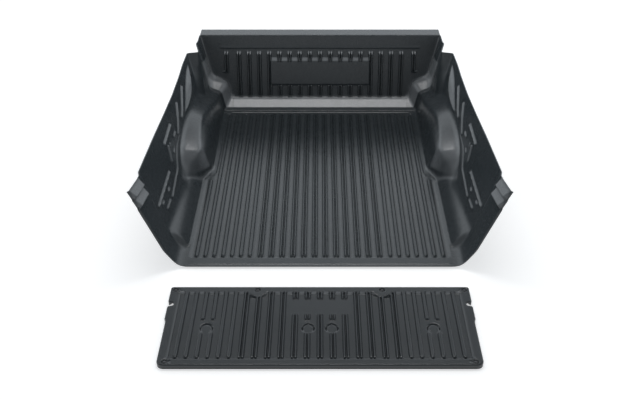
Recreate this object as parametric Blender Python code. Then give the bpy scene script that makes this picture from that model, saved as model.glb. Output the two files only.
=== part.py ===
"""Truck bed liner: a one-piece ribbed tub, a separate tailgate liner and their screws.

Metres, +Z up, +Y towards the cab. The origin lies on the ground under the middle of the
layout: the tub, and behind it the tailgate liner lying flat with its ribs up.
"""
import math

import bmesh
import bpy
import numpy as np
from mathutils import Matrix, Vector

# Sheet and clearances
SHEET = 0.0045
GAP = 0.0003
HOLE_CLEARANCE = 0.0004

# Channels between the ribs: depth, half width at the surface, narrowing to the bottom, and how far
# the strip that carries a channel reaches into the sheet
RIB_PITCH = 0.0495
CHANNEL_DEPTH = 0.0075
CHANNEL_HALF = 0.0136
CHANNEL_DRAFT = 0.003
STRIP_OVERLAP = 0.0018

# Tub heights: the floor rests on the undersides of its channels
FLOOR_TOP = CHANNEL_DEPTH + SHEET
RIM_HEIGHT = 0.414

# Front wall, by distance from the tub's rear edge: foot, slope, ledge before it, lip on top
FRONT_RUN = 1.484
FRONT_LEAN = 0.222
LEDGE_DEPTH = 0.090
LEDGE_STEP = 0.018
LEDGE_STEP_RUN = 0.012
LEDGE_RISE = 0.038
LIP_DEPTH = 0.0792
LEDGE_RUN = FRONT_RUN - LEDGE_DEPTH
FRONT_FOOT = FLOOR_TOP + LEDGE_RISE
TUB_LENGTH = FRONT_RUN + FRONT_LEAN * (RIM_HEIGHT - FRONT_FOOT) + LIP_DEPTH

# Layout along Y: tailgate liner, hinge gap, tub
TAILGATE_DEPTH = 0.449
HINGE_GAP = 0.147
TAILGATE_REAR_Y = -0.5 * (TAILGATE_DEPTH + HINGE_GAP + TUB_LENGTH)
TUB_REAR_Y = TAILGATE_REAR_Y + TAILGATE_DEPTH + HINGE_GAP

# Half width between the wheel arches: the side walls and the floor's edge are set out from it
ARCH_HALF = 0.562

# Side walls: where the plan changes, rim distance outside the arch face, inward slope per drop
JAMB_RUN = 0.124
JOGGLE_RUN = 0.025
PILLAR_DEPTH = 0.180
PILLAR_STEP_RUN = 0.030
JAMB_REAR_OUT = 0.235
JAMB_FRONT_OUT = 0.210
WALL_REAR_OUT = 0.218
WALL_FRONT_OUT = 0.168
PILLAR_OUT = 0.105
LIP_OUT = 0.125
JAMB_LEAN = 0.373
WALL_LEAN = 0.28
PILLAR_LEAN = 0.05
CORNER_LEAN = 0.265
WALL_RUN = JAMB_RUN + JOGGLE_RUN
PILLAR_RUN = FRONT_RUN - PILLAR_DEPTH

# Floor edge: the turned-down rear lip, then the riser and shoulder below the side walls
REAR_LIP_RUN = 0.0205
RISER_OUT = 0.038
RISER_SLOPE = 1.7
JAMB_FOOT_OUT = 0.0595
JAMB_FOOT_SLOPE = 1.1
SHOULDER_OUT = 0.034
SHOULDER_SLOPE = 0.6
RISER_HALF = ARCH_HALF + RISER_OUT
JAMB_FOOT_HALF = ARCH_HALF + JAMB_FOOT_OUT

# Wheel arch: inner face, edge, slanted rear face, and a domed top that runs down to the ledge
ARCH_FACE_SLOPE = 4.5
ARCH_EDGE_HEIGHT = 0.125
ARCH_EDGE_SLOPE_REAR = 3.0
ARCH_EDGE_SLOPE_FRONT = 0.9
ARCH_TOP = 0.220
ARCH_END_TOP = 0.165
ARCH_FOOT_RUN = 0.784
ARCH_REAR_DEPTH = 0.073
ARCH_PEAK_DEPTH = 0.160
ARCH_END_FLAT = 0.010
ARCH_FOOT_SLANT = 2.1
ARCH_TOP_SLANT = 1.54
ARCH_WIDTH = 0.128
ARCH_TOP_RUN = ARCH_FOOT_RUN + ARCH_REAR_DEPTH
ARCH_PEAK_RUN = ARCH_FOOT_RUN + ARCH_PEAK_DEPTH
ARCH_DOME_DEPTH = LEDGE_RUN - ARCH_END_FLAT - ARCH_PEAK_RUN
ARCH_EDGE_HALF = ARCH_HALF + (ARCH_EDGE_HEIGHT - FLOOR_TOP) / ARCH_FACE_SLOPE

# Floor channels: the outer ones end behind the wheel arches
FLOOR_CHANNELS_PER_SIDE = 12
FLOOR_CHANNEL_START = 0.072
FLOOR_CHANNEL_MARGIN = 0.020
ARCH_CHANNEL_CLEARANCE = 0.025
RISER_CHANNEL_CLEARANCE = 0.015

# Front wall channels, measured up the wall from its foot, and the bare plate between them
FRONT_PITCH = 0.060
FRONT_CHANNELS_PER_SIDE = 8
FRONT_CHANNEL_START = 0.006
FRONT_CHANNEL_END = 0.272
FRONT_CHANNEL_DEPTH = 0.006
FRONT_PLATE_HALF = 0.290
FRONT_PLATE_LOW = 0.079
FRONT_PLATE_HIGH = 0.213

# Tailgate liner, measured from its rear edge; it laps past the tub's floor corner
PANEL_HEIGHT = 0.022
PANEL_LAP = 0.016
PANEL_JOG_STEP = 0.0055
PANEL_JOG = 0.250
PANEL_CORNER_RADIUS = 0.022
PANEL_FAR_HALF = JAMB_FOOT_HALF + PANEL_LAP
PANEL_NEAR_HALF = PANEL_FAR_HALF - PANEL_JOG_STEP
SLOT_AT = 0.345
SLOT_WIDTH = 0.030
SLOT_DEPTH = 0.020
PANEL_CHANNELS_PER_SIDE = 12
PANEL_CHANNEL_START = 0.037
PANEL_CHANNEL_MARGIN = 0.033
PANEL_SIDE_MARGIN = 0.020
PANEL_PLATE_HALF = 0.124
PANEL_PLATE_LOW = 0.292
PANEL_PLATE_HIGH = 0.372
DISH_RADIUS = 0.022
DISH_DEPTH = 0.002
DISH_CLEARANCE = 0.012
DISH_AT = 0.205
DISH_HALVES = (0.464, 0.044)
PAD_HALF = 0.265
PAD_RADIUS = 0.040

# Pan head screws and cup washers
SCREW_RADIUS = 0.0024
SCREW_LENGTH = 0.0125
SCREW_TIP = 0.003
HEAD_RADIUS = 0.0048
HEAD_CROWN_RADIUS = 0.0026
HEAD_HEIGHT = 0.003
HEAD_RIM = 0.0012
WASHER_RADIUS = 0.009
WASHER_CROWN_RADIUS = 0.0063
WASHER_THICKNESS = 0.0018
WASHER_RIM = 0.0009
BORE_RADIUS = SCREW_RADIUS + HOLE_CLEARANCE

# Tailgate screw recesses: each sinks a washer and a head below the panel's top
RECESS_CLEARANCE = 0.0025
RECESS_SPARE = 0.0006
RECESS_WALL = 0.0045
SCREW_INSET = 0.020
FAR_SCREW_SETBACK = 0.0225
NEAR_SCREW_SETBACK = 0.032
RECESS_RADIUS = WASHER_RADIUS + RECESS_CLEARANCE
RECESS_DEPTH = 2 * GAP + WASHER_THICKNESS + HEAD_HEIGHT + RECESS_SPARE

# Side wall screws, behind the pillars, and the clip nuts on the back of the wall
WALL_SCREW_SETBACK = 0.065
WALL_SCREW_DROP = 0.082
CLIP_LENGTH = 0.024
CLIP_WIDTH = 0.016
CLIP_THICKNESS = 0.0015
CLIP_BARREL_RADIUS = 0.0045
CLIP_BARREL_HEIGHT = 0.004

# Raised stiffening bars on each side wall: distance behind the pillar and share of the wall's height;
# the front one starts behind the wall screw's washer
WALL_BAR_WIDTH = 0.016
WALL_BAR_HEIGHT = 0.008
WALL_BAR_SINK = 0.0025
WALL_BAR_CLEARANCE = 0.010
FRONT_BAR_BACK = WALL_SCREW_SETBACK + WASHER_RADIUS + WALL_BAR_CLEARANCE
WALL_BARS = (
    ((FRONT_BAR_BACK, 0.55), (0.340, 0.18)),
    ((0.220, 0.65), (0.350, 0.35)),
    ((0.400, 0.62), (0.504, 0.22)),
    ((0.590, 0.62), (0.729, 0.68)),
    ((0.764, 0.60), (0.774, 0.44)),
    ((0.900, 0.38), (1.110, 0.38)),
)

# Mesh density
STATION_STEP = 0.06
LINES_TO_WALL = 5
LINES_UP_WALL = 6
LINES_UP_FRONT = 4
ROUND_SIDES = 20
CORNER_POINTS = 7
SLOT_POINTS = 9
FOOT_STEPS = 40
BEND_LIMIT = 0.0005
FLAT_ANGLE = math.radians(0.2)
SHARP_ANGLE = math.radians(35)


def clear_scene():
    """Removes every object of the opened scene."""
    for obj in list(bpy.data.objects):
        bpy.data.objects.remove(obj, do_unlink=True)


def make_material(name, color, roughness, metallic):
    """A plain Principled material."""
    material = bpy.data.materials.new(name)
    material.use_nodes = True
    shader = material.node_tree.nodes["Principled BSDF"]
    shader.inputs["Base Color"].default_value = (*color, 1.0)
    shader.inputs["Roughness"].default_value = roughness
    shader.inputs["Metallic"].default_value = metallic
    return material


def make_object(name, mesh, material=None, parent=None):
    """Links a mesh as a named object, at rest in world space whatever its parent is."""
    obj = bpy.data.objects.new(name, mesh)
    bpy.context.collection.objects.link(obj)
    if material is not None:
        mesh.materials.append(material)
    if parent is not None:
        obj.parent = parent
        obj.matrix_parent_inverse = parent.matrix_world.inverted()
    return obj


def bmesh_to_mesh(name, shape):
    """Turns a bmesh with outward faces into a mesh and frees it."""
    bmesh.ops.recalc_face_normals(shape, faces=shape.faces)
    mesh = bpy.data.meshes.new(name)
    shape.to_mesh(mesh)
    shape.free()
    return mesh


def smooth_round(mesh):
    """Smooth shading with the hard edges kept."""
    mesh.shade_smooth()
    mesh.set_sharp_from_angle(angle=SHARP_ANGLE)


def add_frustum(shape, low, high, matrix):
    """Adds a block between two rectangles, each (x0, x1, y0, y1, z)."""
    corners = []
    for x0, x1, y0, y1, z in (low, high):
        for x, y in ((x0, y0), (x1, y0), (x1, y1), (x0, y1)):
            corners.append(shape.verts.new(matrix @ Vector((x, y, z))))
    bottom, top = corners[:4], corners[4:]
    shape.faces.new(reversed(bottom))
    shape.faces.new(top)
    for i in range(4):
        j = (i + 1) % 4
        shape.faces.new((bottom[i], bottom[j], top[j], top[i]))


def add_cylinder(shape, radius, z0, z1, matrix):
    """Adds a closed cylinder along the local Z of matrix."""
    middle = matrix @ Matrix.Translation((0, 0, 0.5 * (z0 + z1)))
    bmesh.ops.create_cone(
        shape, cap_ends=True, segments=ROUND_SIDES, radius1=radius, radius2=radius,
        depth=z1 - z0, matrix=middle)


def make_cutter(name, shape):
    """A hidden wire object that another object's Boolean uses."""
    obj = make_object(name, bmesh_to_mesh(name, shape))
    obj.hide_render = True
    obj.display_type = "WIRE"
    return obj


def add_boolean(obj, tool, operation):
    """Adds an exact Boolean modifier."""
    modifier = obj.modifiers.new(tool.name, "BOOLEAN")
    modifier.operation = operation
    modifier.solver = "EXACT"
    modifier.object = tool


def channel_segments(x, start, end, keep_outs):
    """Splits a channel at x into the stretches that stay clear of (x, half, low, high) areas."""
    stretches = [(start, end)]
    for middle, half, low, high in keep_outs:
        if abs(x - middle) >= half:
            continue
        cut = []
        for a, b in stretches:
            cut.append((a, min(b, low)))
            cut.append((max(a, high), b))
        stretches = [(a, b) for a, b in cut if b - a > 2 * CHANNEL_HALF]
    return stretches


def add_channel(strips, channels, x, span, depth, matrix):
    """Adds one pressed channel: the strip that carries it below and the cut that opens it.

    In local space the ribbed surface is z = 0 and the channel runs along y.
    """
    a, b = span
    outer = CHANNEL_HALF + SHEET
    strip = (x - outer, x + outer, a - SHEET, b + SHEET)
    add_frustum(strips, (*strip, -depth - SHEET), (*strip, STRIP_OVERLAP - SHEET), matrix)
    low_half = CHANNEL_HALF - CHANNEL_DRAFT
    high_half = CHANNEL_HALF + CHANNEL_DRAFT
    low = (x - low_half, x + low_half, a + CHANNEL_DRAFT, b - CHANNEL_DRAFT, -depth)
    high = (x - high_half, x + high_half, a - CHANNEL_DRAFT, b + CHANNEL_DRAFT, depth)
    add_frustum(channels, low, high, matrix)


def rim_half(run):
    """Half width of the side wall at its rim, by distance from the rear edge."""
    step = PILLAR_RUN + PILLAR_STEP_RUN
    runs = (0.0, JAMB_RUN, WALL_RUN, PILLAR_RUN, step, FRONT_RUN)
    outs = (JAMB_REAR_OUT, JAMB_FRONT_OUT, WALL_REAR_OUT, WALL_FRONT_OUT, PILLAR_OUT, LIP_OUT)
    return ARCH_HALF + np.interp(run, runs, outs)


def wall_lean(run):
    """Inward slope of the side wall, by distance from the rear edge."""
    runs = (0.0, WALL_RUN, PILLAR_RUN, PILLAR_RUN + PILLAR_STEP_RUN, FRONT_RUN)
    return np.interp(run, runs, (JAMB_LEAN, WALL_LEAN, WALL_LEAN, PILLAR_LEAN, CORNER_LEAN))


def wall_half(run, height):
    """Half width of the inner wall face at a distance from the rear edge and a height."""
    return rim_half(run) - (RIM_HEIGHT - height) * wall_lean(run)


def floor_height(run):
    """Floor surface with its turned-down rear lip."""
    turned = np.clip(1.0 - run / REAR_LIP_RUN, 0.0, 1.0)
    return FLOOR_TOP - (FLOOR_TOP - SHEET) * turned


def shoulder_height(x):
    """The sloping shoulder between the top of the riser and the wall."""
    return FLOOR_TOP + RISER_SLOPE * SHOULDER_OUT + SHOULDER_SLOPE * (x - RISER_HALF - SHOULDER_OUT)


def sill_height(x, run):
    """Riser at the floor's edge, capped by the shoulder below the side wall."""
    narrowing = ARCH_FOOT_RUN - ARCH_FOOT_SLANT * RISER_OUT
    runs = (JAMB_RUN, WALL_RUN, narrowing, ARCH_FOOT_RUN)
    foot = np.interp(run, runs, (JAMB_FOOT_HALF, RISER_HALF, RISER_HALF, ARCH_HALF))
    slope = np.interp(run, (JAMB_RUN, WALL_RUN), (JAMB_FOOT_SLOPE, RISER_SLOPE))
    return np.minimum(floor_height(run) + slope * (x - foot), shoulder_height(x))


def arch_height(x, run):
    """Wheel arch: the lowest of its inner face, edge, domed top and slanted rear face."""
    inner = FLOOR_TOP + ARCH_FACE_SLOPE * (x - ARCH_HALF)
    edge_slope = np.interp(
        run, (ARCH_PEAK_RUN, FRONT_RUN), (ARCH_EDGE_SLOPE_REAR, ARCH_EDGE_SLOPE_FRONT))
    edge = ARCH_EDGE_HEIGHT + edge_slope * (x - ARCH_EDGE_HALF)
    phase = np.clip((run - ARCH_PEAK_RUN) / ARCH_DOME_DEPTH, -1.0, 1.0)
    top = ARCH_END_TOP + (ARCH_TOP - ARCH_END_TOP) * 0.5 * (1.0 + np.cos(math.pi * phase))
    foot_run = ARCH_FOOT_RUN - ARCH_FOOT_SLANT * (x - ARCH_HALF)
    top_run = ARCH_TOP_RUN - ARCH_TOP_SLANT * (x - ARCH_HALF)
    foot = shoulder_height(x)
    rear = foot + (top - foot) * (run - foot_run) / (top_run - foot_run)
    return np.minimum(np.minimum(inner, edge), np.minimum(top, rear))


def ledge_height(run):
    """Ledge along the foot of the front wall: a small step, then a slope."""
    runs = (LEDGE_RUN, LEDGE_RUN + LEDGE_STEP_RUN, FRONT_RUN)
    return np.interp(run, runs, (0.0, LEDGE_STEP, LEDGE_RISE))


def base_height(x, run):
    """Inner surface of the tub without its walls."""
    sides = np.maximum(sill_height(x, run), arch_height(x, run))
    return np.maximum(floor_height(run), sides) + ledge_height(run)


def front_run(height):
    """Distance of the front wall's inner face from the rear edge, by height."""
    return FRONT_RUN + FRONT_LEAN * (height - FRONT_FOOT)


def wall_foot_height(run):
    """Height at which the side wall meets the base, found by repeated substitution."""
    height = np.full_like(run, FLOOR_TOP)
    for _ in range(FOOT_STEPS):
        height = base_height(wall_half(run, height), run)
    return np.minimum(height, RIM_HEIGHT)


def tub_rows():
    """Sections of the tub up to the front wall's foot, as distances from the rear edge.

    Each section has one distance at the arch's inner face and one at the side wall, so that the
    sections turn with the slanted rear face of the arch.
    """
    foot = (ARCH_FOOT_RUN, ARCH_FOOT_RUN - ARCH_FOOT_SLANT * ARCH_WIDTH)
    top = (ARCH_TOP_RUN, ARCH_TOP_RUN - ARCH_TOP_SLANT * ARCH_WIDTH)
    rear = (0.0, REAR_LIP_RUN, JAMB_RUN, WALL_RUN)
    front = (PILLAR_RUN, PILLAR_RUN + PILLAR_STEP_RUN, LEDGE_RUN, LEDGE_RUN + LEDGE_STEP_RUN, FRONT_RUN)
    marks = [(run, run) for run in rear] + [foot, top] + [(run, run) for run in front]
    rows = []
    for a, b in zip(marks, marks[1:]):
        longest = max(b[0] - a[0], b[1] - a[1])
        count = max(1, math.ceil(longest / STATION_STEP))
        rows.extend(np.linspace(a, b, count, endpoint=False))
    return np.array(rows + [marks[-1]])


def front_rows(rise):
    """Sections up the front wall and over its lip: least heights and distances."""
    corner_run = np.array([front_run(ARCH_END_TOP + LEDGE_RISE)])
    corner_foot = wall_foot_height(corner_run)[0]
    low = np.linspace(FRONT_FOOT, corner_foot, LINES_UP_FRONT + 1)[1:]
    high = corner_foot + rise * (RIM_HEIGHT - corner_foot)
    heights = np.concatenate((low, high))
    runs = np.concatenate((front_run(heights), [TUB_LENGTH]))
    return np.concatenate((heights, [RIM_HEIGHT])), runs


def tub_grid():
    """Points of the tub's inner surface: rows along the tub, columns from the floor to a rim."""
    rise = np.linspace(0.0, 1.0, LINES_UP_WALL + 1)[1:]
    front_heights, front_runs = front_rows(rise)
    rows = np.concatenate((tub_rows(), np.stack((front_runs, front_runs), axis=1)))
    least = np.concatenate((np.zeros(len(rows) - len(front_heights)), front_heights))
    inner_run, outer_run = rows[:, :1], rows[:, 1:]

    foot = wall_foot_height(outer_run)
    fixed = np.array((ARCH_HALF - 0.5 * ARCH_CHANNEL_CLEARANCE, ARCH_HALF,
                      0.5 * (ARCH_HALF + ARCH_EDGE_HALF), ARCH_EDGE_HALF, RISER_HALF))
    to_wall = np.linspace(0.0, 1.0, LINES_TO_WALL + 1)[1:]
    spread = RISER_HALF + to_wall * (wall_half(outer_run, foot) - RISER_HALF)
    x = np.concatenate((np.broadcast_to(fixed, (len(rows), len(fixed))), spread), axis=1)
    turn = np.clip((x - ARCH_HALF) / ARCH_WIDTH, 0.0, 1.0)
    run = inner_run + turn * (outer_run - inner_run)
    z = base_height(x, run)

    heights = foot + rise * (RIM_HEIGHT - foot)
    x = np.concatenate((x, wall_half(outer_run, heights)), axis=1)
    run = np.concatenate((run, np.broadcast_to(outer_run, heights.shape)), axis=1)
    z = np.maximum(np.concatenate((z, heights), axis=1), least[:, None])
    return np.stack((x, TUB_REAR_Y + run, z), axis=2)


def tub_sheet_mesh():
    """The tub's inner surface, both halves; bent cells are split along their lower diagonal."""
    half = tub_grid()
    mirrored = half[:, ::-1] * np.array((-1.0, 1.0, 1.0))
    points = np.concatenate((mirrored, half), axis=1)
    height = points[:, :, 2]
    rows, columns = points.shape[:2]
    index = np.arange(rows * columns).reshape(rows, columns)
    quads = np.stack((index[:-1, :-1], index[:-1, 1:], index[1:, 1:], index[1:, :-1]), axis=2)
    rising = height[:-1, :-1] + height[1:, 1:] - height[:-1, 1:] - height[1:, :-1]
    faces = []
    for (a, b, c, d), bend in zip(quads.reshape(-1, 4).tolist(), rising.ravel()):
        if abs(bend) < BEND_LIMIT:
            faces.append((a, b, c, d))
        elif bend < 0:
            faces += [(a, b, c), (a, c, d)]
        else:
            faces += [(a, b, d), (b, c, d)]
    mesh = bpy.data.meshes.new("bed_tub")
    mesh.from_pydata(points.reshape(-1, 3).tolist(), [], faces)
    return mesh


def floor_channels(strips, channels):
    """Channels along the tub's floor; the outer ones end behind the wheel arches."""
    matrix = Matrix.Translation((0, TUB_REAR_Y, FLOOR_TOP))
    arch_limit = ARCH_HALF - ARCH_CHANNEL_CLEARANCE - CHANNEL_HALF
    riser_limit = RISER_HALF - RISER_CHANNEL_CLEARANCE - CHANNEL_HALF
    rear_end = ARCH_FOOT_RUN - ARCH_FOOT_SLANT * RISER_OUT - FLOOR_CHANNEL_START
    for k in range(FLOOR_CHANNELS_PER_SIDE):
        x = (k + 0.5) * RIB_PITCH
        if x > riser_limit:
            break
        end = LEDGE_RUN - FLOOR_CHANNEL_MARGIN if x <= arch_limit else rear_end
        for side in (-1, 1):
            add_channel(strips, channels, side * x, (FLOOR_CHANNEL_START, end), CHANNEL_DEPTH, matrix)


def front_wall_matrix():
    """Local frame on the front wall's inner face: y runs up the wall, z points into the tub."""
    foot = (0, TUB_REAR_Y + FRONT_RUN, FRONT_FOOT)
    lean = math.atan(FRONT_LEAN)
    return Matrix.Translation(foot) @ Matrix.Rotation(math.pi / 2 - lean, 4, "X")


def front_channels(strips, channels):
    """Upright channels of the front wall, broken by the bare plate."""
    plate = (0.0, FRONT_PLATE_HALF, FRONT_PLATE_LOW, FRONT_PLATE_HIGH)
    matrix = front_wall_matrix()
    for k in range(-FRONT_CHANNELS_PER_SIDE, FRONT_CHANNELS_PER_SIDE + 1):
        x = k * FRONT_PITCH
        for span in channel_segments(x, FRONT_CHANNEL_START, FRONT_CHANNEL_END, [plate]):
            add_channel(strips, channels, x, span, FRONT_CHANNEL_DEPTH, matrix)


def wall_point(side, run, height):
    """A point on a side wall's inner face."""
    return Vector((side * float(wall_half(run, height)), TUB_REAR_Y + run, height))


def wall_matrix(side, run, height, toward):
    """Frame on a side wall: x along the wall towards a second point, z into the tub."""
    step = 0.001
    origin = wall_point(side, run, height)
    along = wall_point(side, run + step, height) - origin
    up = wall_point(side, run, height + step) - origin
    normal = (along.cross(up) * -side).normalized()
    x_axis = toward - origin
    x_axis = (x_axis - normal * x_axis.dot(normal)).normalized()
    y_axis = normal.cross(x_axis)
    matrix = Matrix((x_axis, y_axis, normal)).transposed().to_4x4()
    matrix.translation = origin
    return matrix


def wall_bar_point(back, share):
    """Run and height on a side wall from a distance behind the pillar and a share of its height."""
    run = PILLAR_RUN - back
    foot = float(wall_foot_height(np.array([run]))[0])
    return run, foot + share * (RIM_HEIGHT - foot)


def wall_bars(strips):
    """Raised stiffening bars on both side walls."""
    half = 0.5 * WALL_BAR_WIDTH
    top = half - 0.5 * WALL_BAR_HEIGHT
    for side in (-1, 1):
        for start, end in WALL_BARS:
            target = wall_point(side, *wall_bar_point(*end))
            matrix = wall_matrix(side, *wall_bar_point(*start), target)
            length = (target - matrix.translation).length
            low = (0.0, length, -half, half, -WALL_BAR_SINK)
            high = (0.0, length, -top, top, WALL_BAR_HEIGHT)
            add_frustum(strips, low, high, matrix)


def wall_screw_matrix(side):
    """Frame of a side wall screw, with z into the tub."""
    run = PILLAR_RUN - WALL_SCREW_SETBACK
    height = RIM_HEIGHT - WALL_SCREW_DROP
    return wall_matrix(side, run, height, wall_point(side, run + CLIP_LENGTH, height))


def build_tub(material):
    """The tub: its sheet, thickened, with pressed channels, stiffening bars and screw holes."""
    tub = make_object("bed_tub", tub_sheet_mesh(), material)
    flat = tub.modifiers.new("merge_flat_faces", "DECIMATE")
    flat.decimate_type = "DISSOLVE"
    flat.angle_limit = FLAT_ANGLE
    sheet = tub.modifiers.new("sheet", "SOLIDIFY")
    sheet.solidify_mode = "NON_MANIFOLD"
    sheet.nonmanifold_thickness_mode = "CONSTRAINTS"
    sheet.thickness = SHEET
    sheet.offset = -1.0

    strips = bmesh.new()
    channels = bmesh.new()
    floor_channels(strips, channels)
    front_channels(strips, channels)
    wall_bars(strips)
    for side in (-1, 1):
        add_cylinder(channels, BORE_RADIUS, -3 * SHEET, 3 * SHEET, wall_screw_matrix(side))
    add_boolean(tub, make_cutter("tub_added", strips), "UNION")
    add_boolean(tub, make_cutter("tub_removed", channels), "DIFFERENCE")
    return tub


def arc(center, radius, start, end, count):
    """Points on an arc, angles in degrees."""
    points = []
    for angle in np.linspace(math.radians(start), math.radians(end), count):
        points.append((center[0] + radius * math.cos(angle), center[1] + radius * math.sin(angle)))
    return points


def panel_outline():
    """Outline of the tailgate liner, anticlockwise, y from its rear edge."""
    r = PANEL_CORNER_RADIUS
    slot_r = 0.5 * SLOT_WIDTH
    slot_end = PANEL_FAR_HALF - SLOT_DEPTH + slot_r
    right = arc((PANEL_NEAR_HALF - r, r), r, -90, 0, CORNER_POINTS)
    right.append((PANEL_NEAR_HALF, PANEL_JOG - PANEL_JOG_STEP))
    right.append((PANEL_FAR_HALF, PANEL_JOG + PANEL_JOG_STEP))
    right.append((PANEL_FAR_HALF, SLOT_AT - slot_r))
    right.extend(arc((slot_end, SLOT_AT), slot_r, 270, 90, SLOT_POINTS))
    right.append((PANEL_FAR_HALF, SLOT_AT + slot_r))
    right.append((PANEL_FAR_HALF, TAILGATE_DEPTH))
    left = [(-x, y) for x, y in reversed(right)]
    return right + left


def panel_tray_mesh():
    """Flat tray: the outline raised to the panel's height and hollowed from below."""
    shape = bmesh.new()
    outline = [shape.verts.new((x, TAILGATE_REAR_Y + y, 0.0)) for x, y in panel_outline()]
    bottom = shape.faces.new(outline)
    walls = bmesh.ops.extrude_face_region(shape, geom=[bottom], use_keep_orig=True)
    top = [v for v in walls["geom"] if isinstance(v, bmesh.types.BMVert)]
    bmesh.ops.translate(shape, verts=top, vec=(0, 0, PANEL_HEIGHT))
    bmesh.ops.recalc_face_normals(shape, faces=shape.faces)
    bmesh.ops.inset_region(shape, faces=[bottom], thickness=SHEET, use_even_offset=True)
    inner = bmesh.ops.extrude_face_region(shape, geom=[bottom])
    bmesh.ops.delete(shape, geom=[bottom], context="FACES_KEEP_BOUNDARY")
    raised = [v for v in inner["geom"] if isinstance(v, bmesh.types.BMVert)]
    bmesh.ops.translate(shape, verts=raised, vec=(0, 0, PANEL_HEIGHT - SHEET))
    return bmesh_to_mesh("tailgate_liner", shape)


def panel_screw_places():
    """Tailgate screws: name, half-width position and distance from the rear edge."""
    far = TAILGATE_DEPTH - SCREW_INSET
    places = []
    for side, word in ((-1, "left"), (1, "right")):
        places.append((f"near_{word}", side * (PANEL_NEAR_HALF - NEAR_SCREW_SETBACK), SCREW_INSET))
        places.append((f"far_{word}", side * (PANEL_FAR_HALF - FAR_SCREW_SETBACK), far))
        places.append((f"pad_{word}", side * PAD_HALF, far))
    return places


def panel_matrix(x=0.0, y=0.0):
    """Local frame on the tailgate liner's top face."""
    return Matrix.Translation((x, TAILGATE_REAR_Y + y, PANEL_HEIGHT))


def build_tailgate(material, hinge_line):
    """The tailgate liner: a ribbed tray with dishes, bare plate and screw recesses."""
    panel = make_object("tailgate_liner", panel_tray_mesh(), material, hinge_line)
    strips = bmesh.new()
    channels = bmesh.new()
    far = TAILGATE_DEPTH - PANEL_CHANNEL_MARGIN
    keep_outs = [(0.0, PANEL_PLATE_HALF, PANEL_PLATE_LOW, PANEL_PLATE_HIGH)]
    for side in (-1, 1):
        pad_low = TAILGATE_DEPTH - SCREW_INSET - PAD_RADIUS
        keep_outs.append((side * PAD_HALF, CHANNEL_HALF + DISH_CLEARANCE, pad_low, far))
        for half in DISH_HALVES:
            gap = DISH_RADIUS + DISH_CLEARANCE
            keep_outs.append((side * half, DISH_RADIUS + CHANNEL_HALF, DISH_AT - gap, DISH_AT + gap))
            dish = panel_matrix(side * half, DISH_AT)
            add_cylinder(channels, DISH_RADIUS, -DISH_DEPTH, SHEET, dish)
    side_limit = PANEL_NEAR_HALF - PANEL_SIDE_MARGIN - CHANNEL_HALF
    for k in range(-PANEL_CHANNELS_PER_SIDE, PANEL_CHANNELS_PER_SIDE + 1):
        x = k * RIB_PITCH
        if abs(x) > side_limit:
            continue
        for span in channel_segments(x, PANEL_CHANNEL_START, far, keep_outs):
            add_channel(strips, channels, x, span, CHANNEL_DEPTH, panel_matrix())
    bosses = bmesh.new()
    holes = bmesh.new()
    for _, x, y in panel_screw_places():
        place = panel_matrix(x, y)
        boss_radius = RECESS_RADIUS + RECESS_WALL
        add_cylinder(bosses, boss_radius, -RECESS_DEPTH - SHEET, STRIP_OVERLAP - SHEET, place)
        add_cylinder(channels, RECESS_RADIUS, -RECESS_DEPTH, SHEET, place)
        add_cylinder(holes, BORE_RADIUS, -PANEL_HEIGHT, SHEET, place)
    add_boolean(panel, make_cutter("tailgate_strips", strips), "UNION")
    add_boolean(panel, make_cutter("tailgate_bosses", bosses), "UNION")
    add_boolean(panel, make_cutter("tailgate_channels", channels), "DIFFERENCE")
    add_boolean(panel, make_cutter("tailgate_holes", holes), "DIFFERENCE")
    return panel


def turned_mesh(name, profile, matrix):
    """A closed round solid from a (radius, z) profile; radius 0 closes an end, otherwise a bore."""
    shape = bmesh.new()
    angles = [2 * math.pi * i / ROUND_SIDES for i in range(ROUND_SIDES)]
    rings = []
    for radius, z in profile:
        if radius == 0.0:
            rings.append([shape.verts.new(matrix @ Vector((0, 0, z)))])
            continue
        ring = [Vector((radius * math.cos(a), radius * math.sin(a), z)) for a in angles]
        rings.append([shape.verts.new(matrix @ point) for point in ring])
    closed = profile[0][0] > 0.0
    pairs = list(zip(rings, rings[1:]))
    if closed:
        pairs.append((rings[-1], rings[0]))
    for a, b in pairs:
        for i in range(ROUND_SIDES):
            j = (i + 1) % ROUND_SIDES
            corners = [a[i % len(a)], a[j % len(a)], b[j % len(b)], b[i % len(b)]]
            unique = list(dict.fromkeys(corners))
            shape.faces.new(unique)
    mesh = bmesh_to_mesh(name, shape)
    smooth_round(mesh)
    return mesh


def build_fastener(name, place, seat, washer_material, screw_material, parent):
    """A cup washer on its seat and a pan head screw through it; z of place points at the head."""
    low = seat + GAP
    high = low + WASHER_THICKNESS
    washer = ((BORE_RADIUS, low), (WASHER_RADIUS, low), (WASHER_RADIUS, low + WASHER_RIM),
              (WASHER_CROWN_RADIUS, high), (BORE_RADIUS, high))
    make_object(f"{name}_washer", turned_mesh(f"{name}_washer", washer, place), washer_material, parent)
    head = high + GAP
    crown = head + HEAD_HEIGHT
    tip = head - SCREW_LENGTH
    screw = ((0.0, crown), (HEAD_CROWN_RADIUS, crown), (HEAD_RADIUS, head + HEAD_RIM), (HEAD_RADIUS, head),
             (SCREW_RADIUS, head), (SCREW_RADIUS, tip + SCREW_TIP), (0.0, tip))
    make_object(f"{name}_screw", turned_mesh(f"{name}_screw", screw, place), screw_material, parent)


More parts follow.
